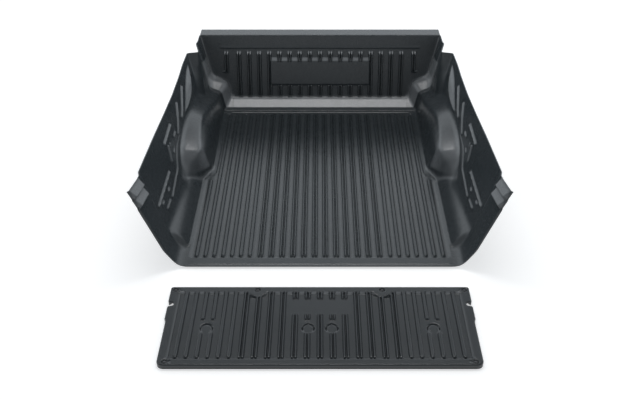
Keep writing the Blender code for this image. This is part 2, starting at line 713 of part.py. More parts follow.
def build_clip_nut(name, place, material):
    """A flat spring nut behind the wall: a plate with a barrel that the screw passes through."""
    shape = bmesh.new()
    top = -SHEET - GAP
    half = (0.5 * CLIP_LENGTH, 0.5 * CLIP_WIDTH)
    plate = (-half[0], half[0], -half[1], half[1])
    add_frustum(shape, (*plate, top - CLIP_THICKNESS), (*plate, top), place)
    nut = make_object(name, bmesh_to_mesh(name, shape), material)
    barrel = bmesh.new()
    lowest = top - CLIP_THICKNESS - CLIP_BARREL_HEIGHT
    add_cylinder(barrel, CLIP_BARREL_RADIUS, lowest, top - 0.5 * CLIP_THICKNESS, place)
    add_boolean(nut, make_cutter(f"{name}_barrel", barrel), "UNION")
    bore = bmesh.new()
    add_cylinder(bore, BORE_RADIUS, lowest - SHEET, SHEET, place)
    add_boolean(nut, make_cutter(f"{name}_bore", bore), "DIFFERENCE")


def build_liner():
    """Every piece of the bed liner."""
    clear_scene()
    plastic = make_material("hdpe_charcoal", (0.040, 0.043, 0.047), 0.45, 0.0)
    washer = make_material("washer_black", (0.020, 0.021, 0.022), 0.5, 0.0)
    steel = make_material("screw_black_zinc", (0.10, 0.10, 0.11), 0.4, 0.9)
    spring = make_material("clip_zinc", (0.55, 0.56, 0.57), 0.35, 1.0)

    hinge_line = bpy.data.objects.new("tailgate_hinge_line", None)
    bpy.context.collection.objects.link(hinge_line)
    hinge_line.location = (0, TUB_REAR_Y - 0.5 * HINGE_GAP, 0.5 * PANEL_HEIGHT)
    bpy.context.view_layer.update()

    build_tub(plastic)
    build_tailgate(plastic, hinge_line)
    for name, x, y in panel_screw_places():
        build_fastener(f"tailgate_{name}", panel_matrix(x, y), -RECESS_DEPTH, washer, steel, hinge_line)
    for side, word in ((-1, "left"), (1, "right")):
        place = wall_screw_matrix(side)
        build_fastener(f"wall_{word}", place, 0.0, washer, steel, None)
        build_clip_nut(f"wall_{word}_clip_nut", place, spring)


build_liner()
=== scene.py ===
# %% [markdown]
# A bed liner for a pickup: one big tray of formed polyethylene with a ribbed floor, wheel arches,
# embossed side walls and a lipped front wall, and a flat ribbed panel for the tailgate. The packed
# part brings every piece at its real size and place. This script gives the two mouldings their fine
# surfaces, gives every piece its finish, and sets up a plain photo studio around them.

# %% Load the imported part
import math

import bpy
import numpy as np
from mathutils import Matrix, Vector


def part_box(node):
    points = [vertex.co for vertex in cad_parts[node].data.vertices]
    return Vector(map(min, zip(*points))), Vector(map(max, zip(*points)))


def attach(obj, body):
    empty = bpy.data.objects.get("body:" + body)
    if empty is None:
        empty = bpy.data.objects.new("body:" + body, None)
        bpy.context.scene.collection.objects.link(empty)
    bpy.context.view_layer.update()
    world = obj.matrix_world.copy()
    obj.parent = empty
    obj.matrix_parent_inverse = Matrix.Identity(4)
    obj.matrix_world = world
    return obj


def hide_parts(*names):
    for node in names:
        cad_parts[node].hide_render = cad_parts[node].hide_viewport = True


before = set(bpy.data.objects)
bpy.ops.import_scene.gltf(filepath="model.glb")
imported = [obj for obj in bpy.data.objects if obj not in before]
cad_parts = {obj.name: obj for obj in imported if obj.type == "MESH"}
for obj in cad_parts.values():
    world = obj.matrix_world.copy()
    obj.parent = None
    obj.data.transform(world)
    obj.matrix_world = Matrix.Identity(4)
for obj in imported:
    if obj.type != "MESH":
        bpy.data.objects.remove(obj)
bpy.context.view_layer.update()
tub_low, tub_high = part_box("bed_tub")
panel_low, panel_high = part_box("tailgate_liner")

# %% [markdown]
# The tub is a single sheet pulled over a mould, so its shape is easiest to write down as that mould:
# a few plain surfaces, each a height above the ground by place. Distances along the bed are measured
# from the tub's rear edge and called run, and x is the distance from the middle line. Both halves
# are the same, so only the right half is worked out.

# %% Main sizes of the mould
SHEET = 0.0045
CHANNEL_DEPTH = 0.0075
TUB_REAR = tub_low.y
TUB_LENGTH = tub_high.y - tub_low.y
RIM = tub_high.z
FLOOR_TOP = CHANNEL_DEPTH + SHEET
ARCH_HALF = 0.562
FRONT_RUN = 1.484
JAMB_RUN = 0.124
WALL_RUN = 0.149


def ease(value):
    """Smooth step from 0 to 1: three squares less two cubes."""
    share = np.clip(value, 0.0, 1.0)
    return share * share * (3.0 - 2.0 * share)


def soft_min(first, second, reach):
    """The lower of two heights, less a quarter of the reach times the square of the share of it left."""
    left = np.maximum(reach - np.abs(first - second), 0.0) / reach
    return np.minimum(first, second) - 0.25 * reach * left * left


print("tub length", round(TUB_LENGTH, 4), "rim height", round(RIM, 4), "rear edge at y", round(TUB_REAR, 4))

# %% Side walls and front pillars
PILLAR_RUN = 1.330
PILLAR_FRONT_RUN = 1.336
PILLAR_BACK_LEAN = 0.42
PILLAR_FRONT_LEAN = 0.10
SIDE_RUNS = (0.0, JAMB_RUN, WALL_RUN, 0.45, 0.65, 0.85, 1.05, 1.19, PILLAR_RUN)
SIDE_OUTS = (0.235, 0.210, 0.218, 0.2015, 0.188, 0.1765, 0.172, 0.1725, 0.167)
CORNER_RUNS = (PILLAR_FRONT_RUN, 1.358, 1.449, FRONT_RUN)
CORNER_OUTS = (0.107, 0.109, 0.133, 0.127)
JAMB_LEAN = 0.373
SIDE_LEAN = 0.28
PILLAR_LEAN = 0.088
CORNER_LEAN = 0.265
UPRIGHT_FROM = 0.50
UPRIGHT_GAIN = 0.15
UPRIGHT_TO = 1.25
UPRIGHT_LOSS = 0.05
UPRIGHT_DROP = 0.090
UPRIGHT_SHARE = 0.32


def wall_half(run, height):
    """Half width of the wall: the plan of the rim, less the lean times the drop below the rim.

    Beside the arch the lower part of the wall stands more upright. The front pillar is a step in the
    plan; the step moves towards the tailgate with the drop, further at its back than at its front.
    """
    drop = RIM - height
    beside = ease((run - UPRIGHT_FROM) / UPRIGHT_GAIN) * (1.0 - ease((run - UPRIGHT_TO) / UPRIGHT_LOSS))
    leant = drop - UPRIGHT_SHARE * beside * np.maximum(drop - UPRIGHT_DROP, 0.0)
    back_lean = np.interp(run, (0.0, WALL_RUN), (JAMB_LEAN, SIDE_LEAN))
    back = np.interp(run, SIDE_RUNS, SIDE_OUTS) - leant * back_lean
    front_lean = np.interp(run, (PILLAR_FRONT_RUN, FRONT_RUN), (PILLAR_LEAN, CORNER_LEAN))
    front = np.interp(run, CORNER_RUNS, CORNER_OUTS) - drop * front_lean
    step_from = PILLAR_RUN - PILLAR_BACK_LEAN * drop
    step_to = PILLAR_FRONT_RUN - PILLAR_FRONT_LEAN * drop
    share = np.clip((run - step_from) / (step_to - step_from), 0.0, 1.0)
    return ARCH_HALF + back + share * (front - back)


print("rim is", round(2.0 * float(wall_half(0.0, RIM)), 3), "m wide at the tailgate")

# %% Riser and wheel arch
RISER_HALF = 0.600
RISER_WIDTH = 0.034
RISER_END_RUN = 0.7042
RISER_SLOPES = (1.1, 1.7)
JAMB_FOOT_HALF = 0.6215
SHOULDER_RISE = 0.0578
SHOULDER_SLOPE = 0.6
SILL_ROUND = 0.035
ARCH_FOOT_RUN = 0.784
ARCH_REAR_HALVES = (ARCH_HALF, 0.6145, 0.675, 0.720)
ARCH_TOP_RUNS = (0.745, 0.695, 0.664, 0.652)
ARCH_FOOT_RUNS = (ARCH_FOOT_RUN, 0.664, 0.565, 0.500)
ARCH_PEAK_RUN = 0.940
ARCH_ARC = 0.80
ARCH_TILT = 0.40
ARCH_MIDDLE = 0.64
ARCH_FALL = 0.500
ARCH_TOP = 0.226
ARCH_END_TOP = 0.145
ARCH_FACE_SLOPE = 5.3
BEVEL_HEIGHT = 0.130
BEVEL_RUNS = (1.20, 1.40)
BEVEL_SLOPES = (3.0, 2.0)
REAR_FACE_LEAST_RUN = 0.03
REAR_FACE_LEAST_RISE = 0.05
BEVEL_ROUND = 0.012
REAR_FACE_ROUND = 0.035
ARCH_ROUND = 0.030


def shoulder(x):
    """The sloping shoulder above the riser: its inner height plus its slope times the way outwards."""
    return FLOOR_TOP + SHOULDER_RISE + SHOULDER_SLOPE * (x - RISER_HALF - RISER_WIDTH)


def sill(x, run):
    """Riser at the floor's edge: floor plus slope times distance past its foot, under the shoulder."""
    foot = np.interp(run, (JAMB_RUN, WALL_RUN, RISER_END_RUN, ARCH_FOOT_RUN),
                     (JAMB_FOOT_HALF, RISER_HALF, RISER_HALF, ARCH_HALF))
    slope = np.interp(run, (JAMB_RUN, WALL_RUN), RISER_SLOPES)
    return soft_min(FLOOR_TOP + slope * (x - foot), shoulder(x), SILL_ROUND)


def arch(x, run, ledge):
    """Wheel arch: the lowest of inner face, bevel, dome and slanted rear face, softly joined.

    The dome falls with the square of the distance behind its peak and eases down to its front end.
    The rear face rises in a straight line from its foot on the shoulder to its top edge on the dome.
    The ledge at the front wall wraps over the arch, so every face moves out by it along its normal.
    """
    inner = FLOOR_TOP + ARCH_FACE_SLOPE * (x - ARCH_HALF) + ledge * math.hypot(1.0, ARCH_FACE_SLOPE)
    bevel_half = ARCH_HALF + (BEVEL_HEIGHT - FLOOR_TOP) / ARCH_FACE_SLOPE
    bevel_slope = np.interp(run, BEVEL_RUNS, BEVEL_SLOPES)
    bevel = BEVEL_HEIGHT + bevel_slope * (x - bevel_half) + ledge * np.hypot(1.0, bevel_slope)
    top = ARCH_TOP + ARCH_TILT * (x - ARCH_MIDDLE)
    top = top - ARCH_ARC * np.maximum(ARCH_PEAK_RUN - run, 0.0) ** 2
    top = top - (ARCH_TOP - ARCH_END_TOP) * ease((run - ARCH_PEAK_RUN) / ARCH_FALL) + ledge
    foot_run = np.interp(x, ARCH_REAR_HALVES, ARCH_FOOT_RUNS)
    top_run = np.interp(x, ARCH_REAR_HALVES, ARCH_TOP_RUNS)
    rise = (run - foot_run) / np.maximum(top_run - foot_run, REAR_FACE_LEAST_RUN)
    rear = shoulder(x) + np.maximum(top - shoulder(x), REAR_FACE_LEAST_RISE) * rise
    faces = soft_min(inner, bevel, BEVEL_ROUND)
    dome = soft_min(top, rear, REAR_FACE_ROUND)
    return soft_min(faces, dome, ARCH_ROUND)


print("arch is", round(float(arch(ARCH_MIDDLE, ARCH_PEAK_RUN, 0.0)), 3), "m high at its peak")

# %% Whole mould
FRONT_FOOT = 0.050
FRONT_LEAN = 0.222
LEDGE_RUNS = (1.4065, 1.4120, 1.466, FRONT_RUN)
LEDGE_RISES = (0.0, 0.0135, 0.0438, 0.0470)
FILLET_REACH = 0.018
FILLET_SLOPE = 1.2


def base_height(x, run):
    """Floor, sill and arch, whichever is highest, with the front ledge and a fillet at the wall's foot.

    The fillet adds the square of the distance left to the wall, inside its reach.
    """
    ledge = np.interp(run, LEDGE_RUNS, LEDGE_RISES)
    height = np.maximum(np.maximum(FLOOR_TOP, sill(x, run)) + ledge, arch(x, run, ledge))
    near = np.maximum(FILLET_REACH - wall_half(run, height) + x, 0.0)
    return height + FILLET_SLOPE / (2.0 * FILLET_REACH) * near * near


def front_run(height):
    """Where the front wall's face stands, by height: it leans away from the bed."""
    return FRONT_RUN + FRONT_LEAN * (height - FRONT_FOOT)


print("lip is", round(TUB_LENGTH - front_run(RIM), 3), "m deep")

# %% [markdown]
# Every surface here is a grid of points held in one numpy array, rows by columns by xyz. A formed
# sheet has two faces, so the next helpers take the grid you see and the grid behind it and close
# the shell around the border. The hidden face can have half as many rows and columns. Faces are
# written into the mesh as whole arrays with foreach_set, which is far quicker than adding them one
# by one.

# %% Faces of grids and loops
def grid_faces(index, flip=False):
    """Quads of an index grid, anticlockwise seen from the side where columns x rows points up."""
    corners = (index[:-1, :-1], index[:-1, 1:], index[1:, 1:], index[1:, :-1])
    quads = np.stack(corners, axis=-1).reshape(-1, 4)
    return quads[:, ::-1] if flip else quads


def border(index):
    """The border of an index grid as one closed loop, anticlockwise."""
    return np.concatenate((index[0, :-1], index[:-1, -1], index[-1, :0:-1], index[:0:-1, 0]))


def strip_faces(inner, outer):
    """Quads between two loops of equal length."""
    return np.stack((inner, outer, np.roll(outer, -1), np.roll(inner, -1)), axis=-1)


def halving_faces(fine, coarse):
    """Triangles from a loop to one with half as many points."""
    even, odd = fine[0::2], fine[1::2]
    following, coarse_following = np.roll(even, -1), np.roll(coarse, -1)
    triangles = ((even, coarse, odd), (coarse, coarse_following, odd), (odd, coarse_following, following))
    return np.concatenate([np.stack(corner, axis=-1) for corner in triangles])


def sheet_shell(top, under, rings=()):
    """Points and faces of a closed shell: the seen grid, rings round its border, the hidden grid.

    The hidden grid has as many points as the seen one, or every second row and column of it.
    """
    count = top.shape[0] * top.shape[1]
    index = np.arange(count).reshape(top.shape[:2])
    points = [top.reshape(-1, 3)]
    polygons = [grid_faces(index)]
    loop = border(index)
    for ring in rings:
        following = np.arange(len(loop)) + count
        points.append(ring)
        polygons.append(strip_faces(loop, following))
        count += len(loop)
        loop = following
    hidden = np.arange(under.shape[0] * under.shape[1]).reshape(under.shape[:2]) + count
    points.append(under.reshape(-1, 3))
    polygons.append(grid_faces(hidden, flip=True))
    last = border(hidden)
    polygons.append(strip_faces(loop, last) if len(last) == len(loop) else halving_faces(loop, last))
    return np.concatenate(points), polygons


print("a grid of 3 by 3 points has", len(grid_faces(np.arange(9).reshape(3, 3))), "faces")

# %% Mesh and object from a shell
SHARP_ANGLE = math.radians(40)


def fill_mesh(mesh, points, polygons):
    """Writes the points and a list of face arrays, where each array has its own count of corners."""
    loops = np.concatenate([faces.ravel() for faces in polygons]).astype(np.int32)
    sizes = np.concatenate([np.full(len(faces), faces.shape[1], np.int32) for faces in polygons])
    starts = np.concatenate(([0], np.cumsum(sizes)[:-1])).astype(np.int32)
    mesh.vertices.add(len(points))
    mesh.vertices.foreach_set("co", points.astype(np.float32).ravel())
    mesh.loops.add(len(loops))
    mesh.loops.foreach_set("vertex_index", loops)
    mesh.polygons.add(len(sizes))
    mesh.polygons.foreach_set("loop_start", starts)
    mesh.update(calc_edges=True)
    mesh.validate()
    mesh.shade_smooth()
    mesh.set_sharp_from_angle(angle=SHARP_ANGLE)


def add_piece(name, points, polygons, painted_highlight, mirrored=False):
    """Makes an object at the origin; a mirrored one swaps x and turns its faces round.

    Painted highlight is a number for each point of the seen grid, kept on the mesh for the material, which
    mixes in a lighter grey by it; the rest is 0.
    """
    if mirrored:
        points = points * np.array((-1.0, 1.0, 1.0))
        polygons = [faces[:, ::-1] for faces in polygons]
    mesh = bpy.data.meshes.new(name)
    fill_mesh(mesh, points, polygons)
    levels = np.zeros(len(points), np.float32)
    levels[:painted_highlight.size] = painted_highlight.ravel()
    mesh.attributes.new("painted_highlight", "FLOAT", "POINT").data.foreach_set("value", levels)
    piece = bpy.data.objects.new(name, mesh)
    bpy.context.scene.collection.objects.link(piece)
    mesh.calc_loop_triangles()
    print(name, len(mesh.vertices), "points,", len(mesh.loop_triangles), "triangles")
    return piece


def grid_normals(points):
    """Unit normals: the cross product of the steps along columns and along rows."""
    normal = np.cross(np.gradient(points, axis=1), np.gradient(points, axis=0))
    return normal / np.linalg.norm(normal, axis=2, keepdims=True)


def rounded(points, axis, passes):
    """Rounds corners: each pass mixes half of a point with a quarter of each neighbour; ends stay."""
    moved = np.moveaxis(points, axis, 0).copy()
    for _ in range(passes):
        moved[1:-1] = 0.25 * moved[:-2] + 0.5 * moved[1:-1] + 0.25 * moved[2:]
    return np.moveaxis(moved, 0, axis)


print("edges sharper than", round(math.degrees(SHARP_ANGLE)), "degrees stay crisp")

# %% [markdown]
# The side of the tub runs from the floor's edge over the riser, or over the wheel arch, up the wall
# to the rim, and round the front corner to the lip. A plain height map would stretch badly on the
# steep walls. Instead each cross section is drawn as a line and cut into even pieces, which are
# shorter on the wall than on the base. The whole grid is then softened a little, which rounds every
# corner as a formed sheet is rounded. The sections lie closer together where the shape turns quickly.

# %% Rows along the bed
REAR_LIP_RUN = 0.0205
EDGE_STRIP_END = 0.690
EDGE_STRIP_GONE = 0.745
LEDGE_START = 1.386
# A stretch is its start, its end and the step between its rows.
BED_STRETCHES = (
    (0.0, REAR_LIP_RUN, 0.0026), (REAR_LIP_RUN, JAMB_RUN, 0.0045), (JAMB_RUN, WALL_RUN, 0.0030),
    (WALL_RUN, EDGE_STRIP_END, 0.0048), (EDGE_STRIP_END, EDGE_STRIP_GONE, 0.0050),
    (EDGE_STRIP_GONE, 1.290, 0.0050), (1.290, 1.345, 0.0025), (1.345, LEDGE_START, 0.0042),
    (LEDGE_START, 1.403, 0.0034), (1.403, 1.4155, 0.0015), (1.4155, FRONT_RUN, 0.0036))
FRONT_STRETCHES = ((0.062, 0.400, 0.0045), (0.400, RIM, 0.0028))
LIP_STRETCHES = ((front_run(RIM), 1.580, 0.0028), (1.580, TUB_LENGTH, 0.0064))
LEAST_STEP = 0.3
SPARE_ROW = 60
NUDGE = 1e-6


def spaced(stretches):
    """Numbers from (start, end, step) stretches, each start included once, without a last short step."""
    places = [np.arange(start, end - LEAST_STEP * step, step) for start, end, step in stretches]
    return np.concatenate(places + [[stretches[-1][1]]])


def odd_count(places, spare=None):
    """Drops the spare place, or the middle one, from an even count: every second one reaches both ends."""
    if len(places) % 2:
        return places
    return np.delete(places, len(places) // 2 if spare is None else spare)


bed_runs = spaced(BED_STRETCHES)
front_heights = spaced(FRONT_STRETCHES)
lip_runs = spaced(LIP_STRETCHES)[1:]
row_runs = np.concatenate((bed_runs, front_run(front_heights), lip_runs))
row_least = np.concatenate((np.zeros(len(bed_runs)), front_heights, np.full(len(lip_runs), RIM)))
row_runs = odd_count(row_runs, SPARE_ROW)
row_least = odd_count(row_least, SPARE_ROW)
LEDGE_ROW = int(np.searchsorted(row_runs, LEDGE_START - NUDGE))
print(len(row_runs), "rows, the ledge starts at row", LEDGE_ROW)

# %% Cross sections of the tub's side
FLOOR_SIDE = 0.594
ARCH_SIDE = 0.5465
LEDGE_SIDE = 0.505
FRONT_SIDE = 0.575
LEDGE_TURN = 0.012
WALL_TURN_START = 1.4995
WALL_TURN_END = 1.5206
BORDER_RUNS = (
    EDGE_STRIP_END, EDGE_STRIP_GONE, LEDGE_START - LEDGE_TURN, LEDGE_START, WALL_TURN_START, WALL_TURN_END)
BORDER_HALVES = (FLOOR_SIDE, ARCH_SIDE, ARCH_SIDE, LEDGE_SIDE, LEDGE_SIDE, FRONT_SIDE)
FOOT_STEPS = 40
SIDE_COLUMNS = 145
BASE_SAMPLES = 260
WALL_SAMPLES = 140
WALL_DENSITY = 1.5
LEAST_LENGTH = 1e-9
EDGE_PASSES = 4
ROW_PASSES = 3
JAMB_PASSES = 36
JAMB_PAST = 0.012
JAMB_BLEND = 0.03
CORNER_PASSES = 16
CORNER_BLEND = 0.02


def border_half(run):
    """Where the middle pieces and the side meet: outside the ribs, close to the arch, off the ledge."""
    return np.interp(run, BORDER_RUNS, BORDER_HALVES)


def wall_foot(run, least):
    """Height where the wall meets the base: the base's height there, found by going round and round."""
    height = np.full_like(run, FLOOR_TOP)
    for _ in range(FOOT_STEPS):
        height = np.maximum(base_height(wall_half(run, height), run), least)
    return np.minimum(height, RIM)


def even_sections(x, z, weight):
    """Sections cut anew at equal shares of their length, which counts each step times its weight."""
    step = np.hypot(np.diff(x), np.diff(z)) * weight
    length = np.concatenate((np.zeros_like(x[:, :1]), np.cumsum(step, axis=1)), axis=1)
    length = length / length[:, -1:]
    target = np.linspace(0.0, 1.0, SIDE_COLUMNS)
    below = (length[:, None, :] <= target[None, :, None]).sum(axis=2) - 1
    below = np.clip(below, 0, length.shape[1] - 2)
    low = np.take_along_axis(length, below, axis=1)
    high = np.take_along_axis(length, below + 1, axis=1)
    part = np.clip((target - low) / np.maximum(high - low, LEAST_LENGTH), 0.0, 1.0)
    cut = []
    for values in (x, z):
        first = np.take_along_axis(values, below, axis=1)
        second = np.take_along_axis(values, below + 1, axis=1)
        cut.append(first + part * (second - first))
    return cut


def side_grid():
    """Sections of the right side as a grid, softened, with broader rounding at jamb and front corner.

    Each section is the base from the border to the wall's foot, then the wall from its foot to the
    rim. The wall counts more than the base when the section is cut.
    """
    run = row_runs[:, None]
    least = row_least[:, None]
    foot = wall_foot(run, least)
    start = border_half(run)
    share = np.linspace(0.0, 1.0, BASE_SAMPLES)
    base_x = start + share * (wall_half(run, foot) - start)
    base_z = np.minimum(np.maximum(base_height(base_x, run), least), RIM)
    rise = np.linspace(0.0, 1.0, WALL_SAMPLES)[1:]
    wall_z = foot + rise * (RIM - foot)
    x = np.concatenate((base_x, wall_half(run, wall_z)), axis=1)
    z = np.concatenate((base_z, wall_z), axis=1)
    weight = np.concatenate((np.ones(BASE_SAMPLES - 1), np.full(WALL_SAMPLES - 1, WALL_DENSITY)))
    x, z = even_sections(x, z, weight)
    points = np.stack((x, np.broadcast_to(TUB_REAR + run, x.shape), z), axis=2)
    fine = rounded(points, 1, EDGE_PASSES)
    broad = rounded(points, 1, JAMB_PASSES)
    turned = rounded(points, 1, CORNER_PASSES)
    jamb = ease((JAMB_RUN + JAMB_PAST - run) / JAMB_BLEND)[:, :, None]
    corner = ease((run - FRONT_RUN) / CORNER_BLEND)[:, :, None]
    return rounded(fine + jamb * (broad - fine) + corner * (turned - fine), 0, ROW_PASSES)


side = side_grid()
side_half = side[:, :, 0]
side_run = side[:, :, 1] - TUB_REAR
side_height = side[:, :, 2]
print("side grid", side.shape)

# %% [markdown]
# Raised bars stiffen the side walls, two flutes stiffen the flap at the tailgate, and the flap's rear
# edge is turned outwards. All of these are small, so they are added after the softening, by moving
# each point along the surface's own normal. A bar is a line on the wall and a half width. Across the
# line it is a wedge, thin at its upper edge and growing downwards, so its foot throws a shadow. The
# widest bar is a leaf, whose half width swells towards the middle.

# %% Bars, flutes and turned edge of the side
BAR_SLOPE = 0.50
BAR_FALL = 0.007
# Start run and height, end run and height, half width, and 1 for a leaf or 0 for a plain bar.
WALL_BARS = (
    (1.264, 0.380, 0.917, 0.270, 0.021, 1.0),
    (1.012, 0.377, 0.840, 0.291, 0.008, 0.0),
    (0.843, 0.370, 0.714, 0.266, 0.008, 0.0),
    (0.661, 0.354, 0.508, 0.337, 0.007, 0.0),
    (0.537, 0.305, 0.502, 0.240, 0.007, 0.0),
    (0.430, 0.233, 0.174, 0.217, 0.007, 0.0),
    (0.734, 0.252, 0.646, 0.240, 0.005, 0.0),
    (0.646, 0.240, 0.534, 0.184, 0.006, 0.0),
    (0.534, 0.184, 0.344, 0.149, 0.006, 0.0),
    (0.684, 0.300, 0.650, 0.292, 0.007, 0.0),
    (0.569, 0.300, 0.560, 0.285, 0.006, 0.0),
    (0.604, 0.256, 0.575, 0.246, 0.006, 0.0),
    (0.354, 0.193, 0.330, 0.190, 0.006, 0.0),
    (0.244, 0.197, 0.220, 0.194, 0.006, 0.0),
    (0.314, 0.155, 0.244, 0.155, 0.006, 0.0),
)
FLUTE_DROPS = (0.018, 0.064)
FLUTE_TOP = 0.018
FLUTE_SLOPE = 0.46
FLUTE_FALL = 0.014
FLUTE_LEAD = 0.004
FLUTE_START = 0.020
FLUTE_END = 0.116
FLUTE_FADE = 0.014
TURN_RUN = 0.014
TURN_OUT = 0.0065
TURN_FROM = 0.060
TURN_FULL = 0.110


def wedge(up, half, slope, fall):
    """A wedge across a bar: thin at its upper edge, growing downwards, then dropping off at the foot."""
    grown = slope * np.clip(half - up, 0.0, 2.0 * half)
    return grown * ease((half + fall + up) / fall)


def bar_heights(run, height):
    """Bars: a wedge across each bar's line, rounded off past its ends; the highest bar wins.

    A leaf's half width is scaled by four times the share of its length times the share left.
    """
    raised = np.zeros_like(run)
    for start_run, start_z, end_run, end_z, half, leaf in WALL_BARS:
        length = math.hypot(end_run - start_run, end_z - start_z)
        along_run, along_z = (end_run - start_run) / length, (end_z - start_z) / length
        along = (run - start_run) * along_run + (height - start_z) * along_z
        up = (height - start_z) * -along_run + (run - start_run) * along_z
        share = np.clip(along / length, 0.0, 1.0)
        swell = half * (1.0 - leaf + leaf * 4.0 * share * (1.0 - share))
        over = np.maximum(np.abs(along - 0.5 * length) - 0.5 * length, 0.0)
        raised = np.maximum(raised, wedge(up, swell, BAR_SLOPE, BAR_FALL) * ease(1.0 - over / BAR_FALL))
    return raised


def flute_heights(run, height):
    """Flutes: a wide wedge at each drop below the rim, fading out along the run."""
    raised = np.zeros_like(run)
    for drop in FLUTE_DROPS:
        raised = np.maximum(raised, wedge(height - RIM + drop, FLUTE_TOP, FLUTE_SLOPE, FLUTE_FALL))
    return raised * ease((FLUTE_END - run) / FLUTE_FADE) * ease((run + FLUTE_LEAD) / FLUTE_START)


def turned_edge(run, height):
    """Turn of the rear edge: the square of what is left of the turn's run, only up on the flap."""
    left = np.clip(1.0 - run / TURN_RUN, 0.0, 1.0)
    return -TURN_OUT * left * left * ease((height - TURN_FROM) / (TURN_FULL - TURN_FROM))


behind_pillar = side_run < PILLAR_RUN
relief = np.where(behind_pillar, bar_heights(side_run, side_height), 0.0)
relief = relief + flute_heights(side_run, side_height) + turned_edge(side_run, side_height)
side_top = side + relief[:, :, None] * grid_normals(side)
side_under = (side_top - SHEET * grid_normals(side_top))[::2, ::2]
print(len(WALL_BARS), "bars, up to", round(1000.0 * relief.max(), 1), "mm high")

# %% [markdown]
# Highlights are painted into the colour: bars, arch tops, the ledge and the hollows of the front corner
# and the arch's foot get a lighter grey where light would catch them. Each point gets a number from 0
# to 1 for this painted highlight. The mesh keeps it as an attribute, which the material reads later. A
# hollow is found by softening the grid strongly: there the softened grid lies above the real one.

# %% Painted highlights of the side
HOLLOW_PASSES = 8
HOLLOW_FULL = 0.0010
CORNER_HIGHLIGHT = 0.55
CORNER_HIGHLIGHT_RUN = 1.40
CORNER_HIGHLIGHT_EASE = 0.03
FOOT_HIGHLIGHT = 0.45
FOOT_HIGHLIGHT_REACH = 0.05
FOOT_HIGHLIGHT_HIGHEST = 0.14
ARCH_HIGHLIGHT_AT = (-0.14, -0.10, -0.02, 0.01, 0.05, 0.09, 0.16, 0.24)
ARCH_HIGHLIGHT = (0.0, 0.16, 0.24, 0.62, 0.62, 0.42, 0.19, 0.0)
BASE_EASE = 0.006
FACE_EASE = 0.04
SHOULDER_EASE = 0.02
LEDGE_HIGHLIGHT_RUN = 1.4125
LEDGE_HIGHLIGHT_EASE = 0.004
SIDE_LEDGE_HIGHLIGHT = 0.55
SIDE_LEDGE_HIGHEST = 0.30
BAR_HIGHLIGHT = 0.42
BAR_HIGHLIGHT_HEIGHT = 0.006


def painted_hollow_highlight():
    """Painted highlight in the hollows of the front corner and the arch's foot: how far the softened side
    lies above.
    """
    soft = rounded(rounded(side, 0, HOLLOW_PASSES), 1, HOLLOW_PASSES)
    share = np.sum((soft - side) * grid_normals(side), axis=2) / HOLLOW_FULL
    at_corner = ease((side_run - CORNER_HIGHLIGHT_RUN) / CORNER_HIGHLIGHT_EASE)
    foot_line = np.interp(side_half, ARCH_REAR_HALVES, ARCH_FOOT_RUNS)
    at_foot = ease(1.0 - np.abs(side_run - foot_line) / FOOT_HIGHLIGHT_REACH) * (side_height < FOOT_HIGHLIGHT_HIGHEST)
    return np.clip(share, 0.0, 1.0) * (CORNER_HIGHLIGHT * at_corner + FOOT_HIGHLIGHT * at_foot)


def arch_highlight():
    """Painted highlight on the arch: by the run past the top edge of its rear face, and not on wall or
    inner face.
    """
    foot_height = wall_foot(row_runs[:, None], row_least[:, None])
    on_base = ease((foot_height - side_height) / BASE_EASE)
    past_edge = side_run - np.interp(side_half, ARCH_REAR_HALVES, ARCH_TOP_RUNS)
    off_face = ease((FLOOR_TOP + ARCH_FACE_SLOPE * (side_half - ARCH_HALF) - side_height) / FACE_EASE)
    on_arch = ease((side_height - shoulder(side_half)) / SHOULDER_EASE) * on_base * off_face
    return on_arch * np.interp(past_edge, ARCH_HIGHLIGHT_AT, ARCH_HIGHLIGHT)


def ledge_band(run, wall_run):
    """1 on the ledge: eased in past its step and out before the front wall."""
    return ease((run - LEDGE_HIGHLIGHT_RUN) / LEDGE_HIGHLIGHT_EASE) * ease((wall_run - run) / LEDGE_HIGHLIGHT_EASE)


# Painted highlights: the ledge, the hollows, the arch and the raised bars get a lighter grey where light
# would catch them.
side_ledge = ledge_band(side_run, front_run(side_height) - LEDGE_HIGHLIGHT_EASE)
side_highlight = painted_hollow_highlight() + SIDE_LEDGE_HIGHLIGHT * side_ledge * (side_height < SIDE_LEDGE_HIGHEST)
side_highlight = side_highlight + arch_highlight()
side_highlight = side_highlight + BAR_HIGHLIGHT * ease(relief / BAR_HIGHLIGHT_HEIGHT) * behind_pillar
side_highlight = np.clip(side_highlight, 0.0, 1.0)
side_points, side_polygons = sheet_shell(side_top, side_under)
tub_right = add_piece("tub_right", side_points, side_polygons, side_highlight)
tub_left = add_piece("tub_left", side_points, side_polygons, side_highlight, mirrored=True)

# %% [markdown]
# The floor, the front wall and the tailgate liner all have ribs. In the middle these are pairs of
# narrow fingers with rounded ends and a cleft between them, and towards the sides of the floor and of
# the tailgate liner they are single fingers. A finger's height only depends on how far a point lies
# inside the finger's outline, so one distance formula draws its sides and both ends. The grid's
# columns are laid where that shape has its corners, so it stays crisp with few points.

# %% Ribs
PAIR_OFF = 0.0071
PAIR_HALF = 0.0067
SINGLE_HALF = 0.0100
FINGER_RISE = 0.0045
PAIR_COLUMNS = (
    0.0, 0.0008, 0.0016, 0.0026, 0.0037, 0.0048, 0.0071, 0.0094, 0.0105, 0.0116, 0.0127, 0.0138, 0.0165)
SINGLE_COLUMNS = (0.0, 0.0030, 0.0053, 0.0065, 0.0077, 0.0089, 0.0100, 0.0125)


